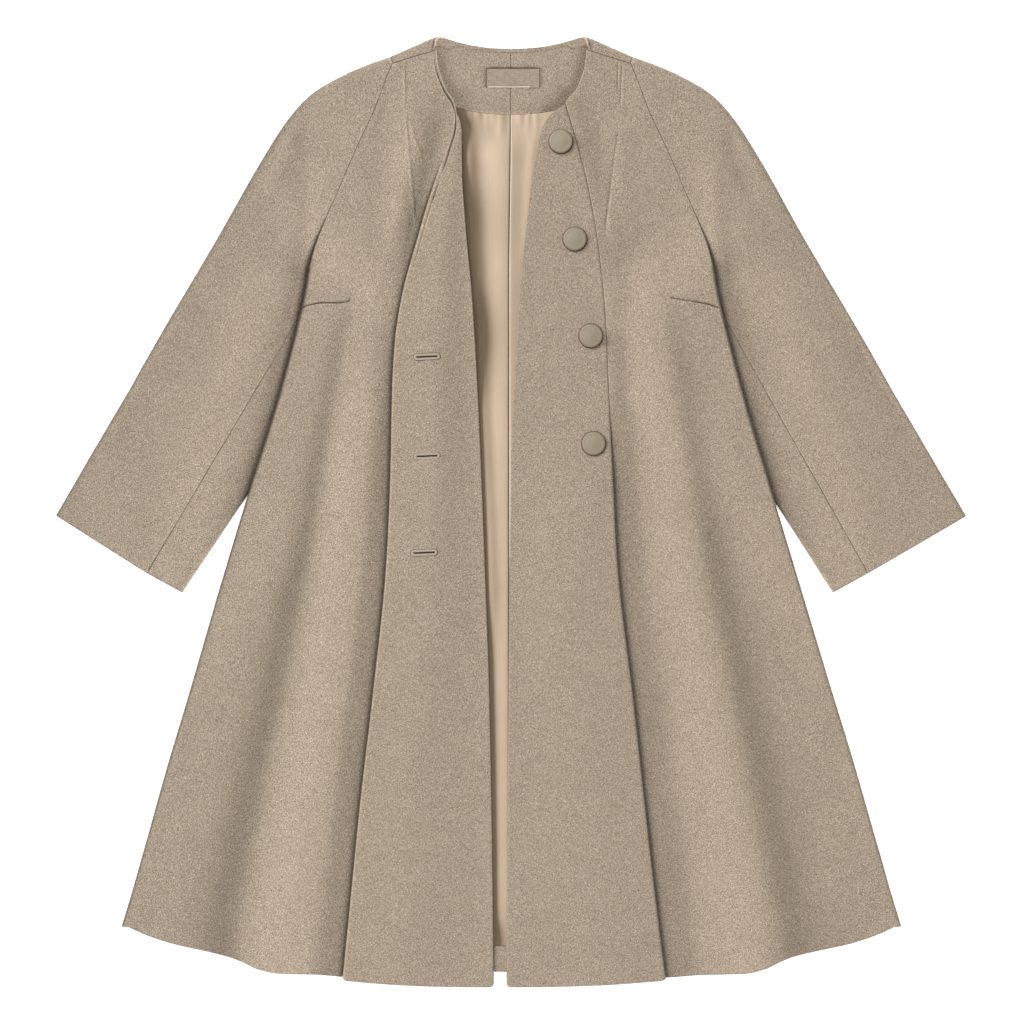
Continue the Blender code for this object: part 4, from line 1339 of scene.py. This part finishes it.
def melange_wool():
    """Brushed wool of mixed fibres: fine flecks of light, dark, pinkish and yellowish, and a soft nap."""
    nodes = Nodes("Melange wool")
    flecks = nodes.noise(1000, 2.0, 0.7, 1.0, nodes.stretched((1.35, 0.95, 1.0)))
    fibres = nodes.noise(2100, 1.0, 0.6, 0.6)
    clouds = nodes.noise(42, 3.0, 0.5)
    hues = nodes.noise(700, 1.0, 0.5)
    both = nodes.maths("ADD", nodes.maths("MULTIPLY", flecks, 0.72), nodes.maths("MULTIPLY", fibres, 0.28))
    colour = nodes.ramp(both, [
        (0.34, (0.125, 0.094, 0.072)), (0.46, (0.365, 0.292, 0.226)), (0.54, (0.555, 0.458, 0.366)),
        (0.66, (0.98, 0.86, 0.73)),
    ])
    shade = nodes.ramp(clouds, [(0.3, (0.94, 0.94, 0.935)), (0.7, (1.0, 1.0, 1.0))])
    tint = nodes.ramp(hues, [(0.36, (1.0, 0.945, 0.97)), (0.64, (0.985, 1.0, 0.91))])
    colour = nodes.blend("MULTIPLY", 1.0, nodes.blend("MULTIPLY", 1.0, colour, shade), tint)
    nodes.link(colour, nodes.shader.inputs["Base Color"])
    nodes.bump(both, 0.0011, 0.8)
    return nodes.finish(Roughness=0.92, Sheen_Weight=0.18, Sheen_Roughness=0.45)


def beige_satin():
    """Lining satin: smooth along its floating threads, with fine ribs and faint cloudy tone."""
    nodes = Nodes("Beige satin")
    threads = nodes.noise(900, 2.0, 0.5, 0.0, nodes.stretched((1.0, 0.06, 1.0)))
    clouds = nodes.noise(18, 2.0, 0.5, 0.4)
    colour = nodes.ramp(clouds, [(0.25, (0.665, 0.475, 0.302)), (0.75, (0.73, 0.535, 0.345))])
    grain = nodes.ramp(threads, [(0.3, (0.955, 0.955, 0.95)), (0.7, (1.0, 1.0, 1.0))])
    nodes.link(nodes.blend("MULTIPLY", 1.0, colour, grain), nodes.shader.inputs["Base Color"])
    nodes.bump(threads, 0.00006, 0.4)
    return nodes.finish(Roughness=0.42, Anisotropic=0.35, Sheen_Weight=0.1, Sheen_Roughness=0.3)


def olive_resin():
    """Half-matt resin with a faint milky swirl and fine handling marks."""
    nodes = Nodes("Olive taupe resin")
    swirl = nodes.noise(120, 4.0, 0.55, 1.2)
    marks = nodes.noise(1100, 3.0, 0.6, 0.0, nodes.stretched((1.0, 0.15, 1.0)))
    colour = nodes.ramp(swirl, [(0.3, (0.298, 0.243, 0.17)), (0.7, (0.33, 0.272, 0.194))])
    nodes.link(colour, nodes.shader.inputs["Base Color"])
    nodes.bump(marks, 0.00003, 0.4)
    return nodes.finish(Roughness=0.38, Coat_Weight=0.15, Coat_Roughness=0.3)


def woven_tape():
    """Plain woven tape in the wool's own tone."""
    nodes = Nodes("Woven tape")
    warp = nodes.noise(1300, 1.0, 0.5, 0.0, nodes.stretched((1.0, 0.12, 1.0)))
    weft = nodes.noise(1300, 1.0, 0.5, 0.0, nodes.stretched((0.12, 1.0, 1.0)))
    weave = nodes.maths("ADD", nodes.maths("MULTIPLY", warp, 0.5), nodes.maths("MULTIPLY", weft, 0.5))
    colour = nodes.ramp(weave, [(0.38, (0.35, 0.277, 0.208)), (0.62, (0.48, 0.388, 0.30))])
    nodes.link(colour, nodes.shader.inputs["Base Color"])
    nodes.bump(weave, 0.0002, 0.6)
    return nodes.finish(Roughness=0.85, Sheen_Weight=0.12, Sheen_Roughness=0.4)


def stitching_thread(name, colour):
    nodes = Nodes(name)
    twist = nodes.noise(2200, 1.0, 0.5)
    light = tuple(min(part * 1.25, 1) for part in colour)
    nodes.link(nodes.ramp(twist, [(0.3, colour), (0.7, light)]), nodes.shader.inputs["Base Color"])
    nodes.bump(twist, 0.0001, 0.4)
    return nodes.finish(Roughness=0.7, Sheen_Weight=0.1)


# Floor, camera and light

FIELD = 1.0752
CAMERA_AIM = (0.0006, 0.0001, 0.010)
LENS = 135.0
SENSOR = 36.0


def floor():
    mesh = bpy.data.meshes.new("floor")
    reach = 6.0
    mesh.from_pydata([(-reach, -reach, 0), (reach, -reach, 0), (reach, reach, 0), (-reach, reach, 0)], [],
                     [(0, 1, 2, 3)])
    nodes = Nodes("Pale floor")
    mesh.materials.append(nodes.finish(Base_Color=(0.93, 0.93, 0.93, 1), Roughness=0.9))
    piece = bpy.data.objects.new("floor", mesh)
    piece.location = (0, 0, -0.0005)
    bpy.context.collection.objects.link(piece)


def camera():
    data = bpy.data.cameras.new("Camera")
    data.lens = LENS
    data.sensor_width = SENSOR
    data.clip_end = 50
    seen_from = bpy.data.objects.new("Camera", data)
    seen_from.location = (CAMERA_AIM[0], CAMERA_AIM[1], CAMERA_AIM[2] + FIELD * LENS / SENSOR)
    bpy.context.collection.objects.link(seen_from)
    bpy.context.scene.camera = seen_from


WARM = (1.0, 0.985, 0.965)
COOL = (0.90, 1.0, 1.16)
# The light crosses over the middle: each half is lit from the other half's side, as in the photo.
LAMPS = [
    Lamp("across to the right", "right", 28, 62, 4.49, 54),
    Lamp("across to the left", "left", 152, 62, 4.89, 54),
    Lamp("on the right panel", "right panel", 160, 36, 3.02, 56),
    Lamp("on the left panel", "left panel", 150, 33, 2.66, 56),
    Lamp("into the lining", "lining", 172, 70, 6.8, 30),
    Lamp("into the neck from the right", "neck", 205, 72, 3.5, 30),
    Lamp("into the neck from the left", "neck", -25, 72, 3.5, 30),
    Lamp("on the floor", "floor", 90, 5, 6.0, 60),
]
AMBIENT = 0.27
LIT = [
    ("floor", "floor"), ("lining", "lining"), ("neck", "neck"), ("label", "neck"), ("resin", "left panel"),
    ("buttonhole", "right panel"), ("front_panel_cloth_right", "right panel"),
    ("front_panel_cloth_left", "left panel"), ("hem_turn_up", "left panel"),
]


def lit_by(lamp, name):
    """Whether a lamp of the studio lights a piece."""
    for start, lit in LIT:
        if name.startswith(start):
            return lamp.lit == lit
    return name.endswith("_" + lamp.lit)


def lights():
    for lamp in LAMPS:
        data = bpy.data.lights.new(lamp.name, "SUN")
        data.energy = lamp.strength
        data.angle = radians(lamp.softness)
        data.color = COOL if lamp.lit == "lining" else WARM
        light = bpy.data.objects.new(lamp.name, data)
        light.rotation_euler = (0, radians(lamp.tilt), radians(lamp.azimuth))
        bpy.context.collection.objects.link(light)
        lit = bpy.data.collections.new("Lit by " + lamp.name)
        for piece in bpy.context.scene.objects:
            if piece.type == "MESH" and lit_by(lamp, piece.name):
                lit.objects.link(piece)
        light.light_linking.receiver_collection = lit
    world = bpy.data.worlds.new("Studio")
    world.use_nodes = True
    background = world.node_tree.nodes["Background"]
    background.inputs["Color"].default_value = (1.0, 1.0, 1.0, 1)
    background.inputs["Strength"].default_value = AMBIENT
    bpy.context.scene.world = world
    bpy.context.scene.view_settings.view_transform = "Standard"


def dress():
    camera()
    floor()
    wool = melange_wool()
    satin = beige_satin()
    resin = olive_resin()
    tape = woven_tape()
    pale = stitching_thread("Pale thread", (0.43, 0.36, 0.28))
    # Pale thread: painted highlight on the label's bottom edge.
    label_highlight_thread = stitching_thread("White thread", (0.72, 0.65, 0.55))
    # Near-black brown thread for the painted shade lines: seams, grooves, buttonhole and label outlines,
    # button feet.
    brown = stitching_thread("Brown thread", (0.09, 0.068, 0.048))
    # Near-black thread: painted shadow inside the buttonhole slits.
    slit_shadow_thread = stitching_thread("Black brown thread", (0.016, 0.012, 0.009))
    for side in (RIGHT, LEFT):
        back(side, wool)
        back_lining(side, satin)
        side_front(side, wool)
        sleeve_upper(side, wool)
        sleeve_under(side, wool)
        front_panel(side, wool)
    for number, (x, drop) in enumerate(BUTTONHOLE_SPOTS, start=1):
        buttonhole_stitches(number, x, drop, pale, brown, slit_shadow_thread)
    back_neck_facing(wool)
    for side in (RIGHT, LEFT):
        seam_shade_threads(side, brown)
    back_neck_label(tape, brown, label_highlight_thread)
    neck_stitching_shade(brown)
    back_hem_turn_up(wool)
    for number, (x, drop) in enumerate(BUTTON_SPOTS, start=1):
        button(number, x, drop, resin, brown)
    lights()


dress()
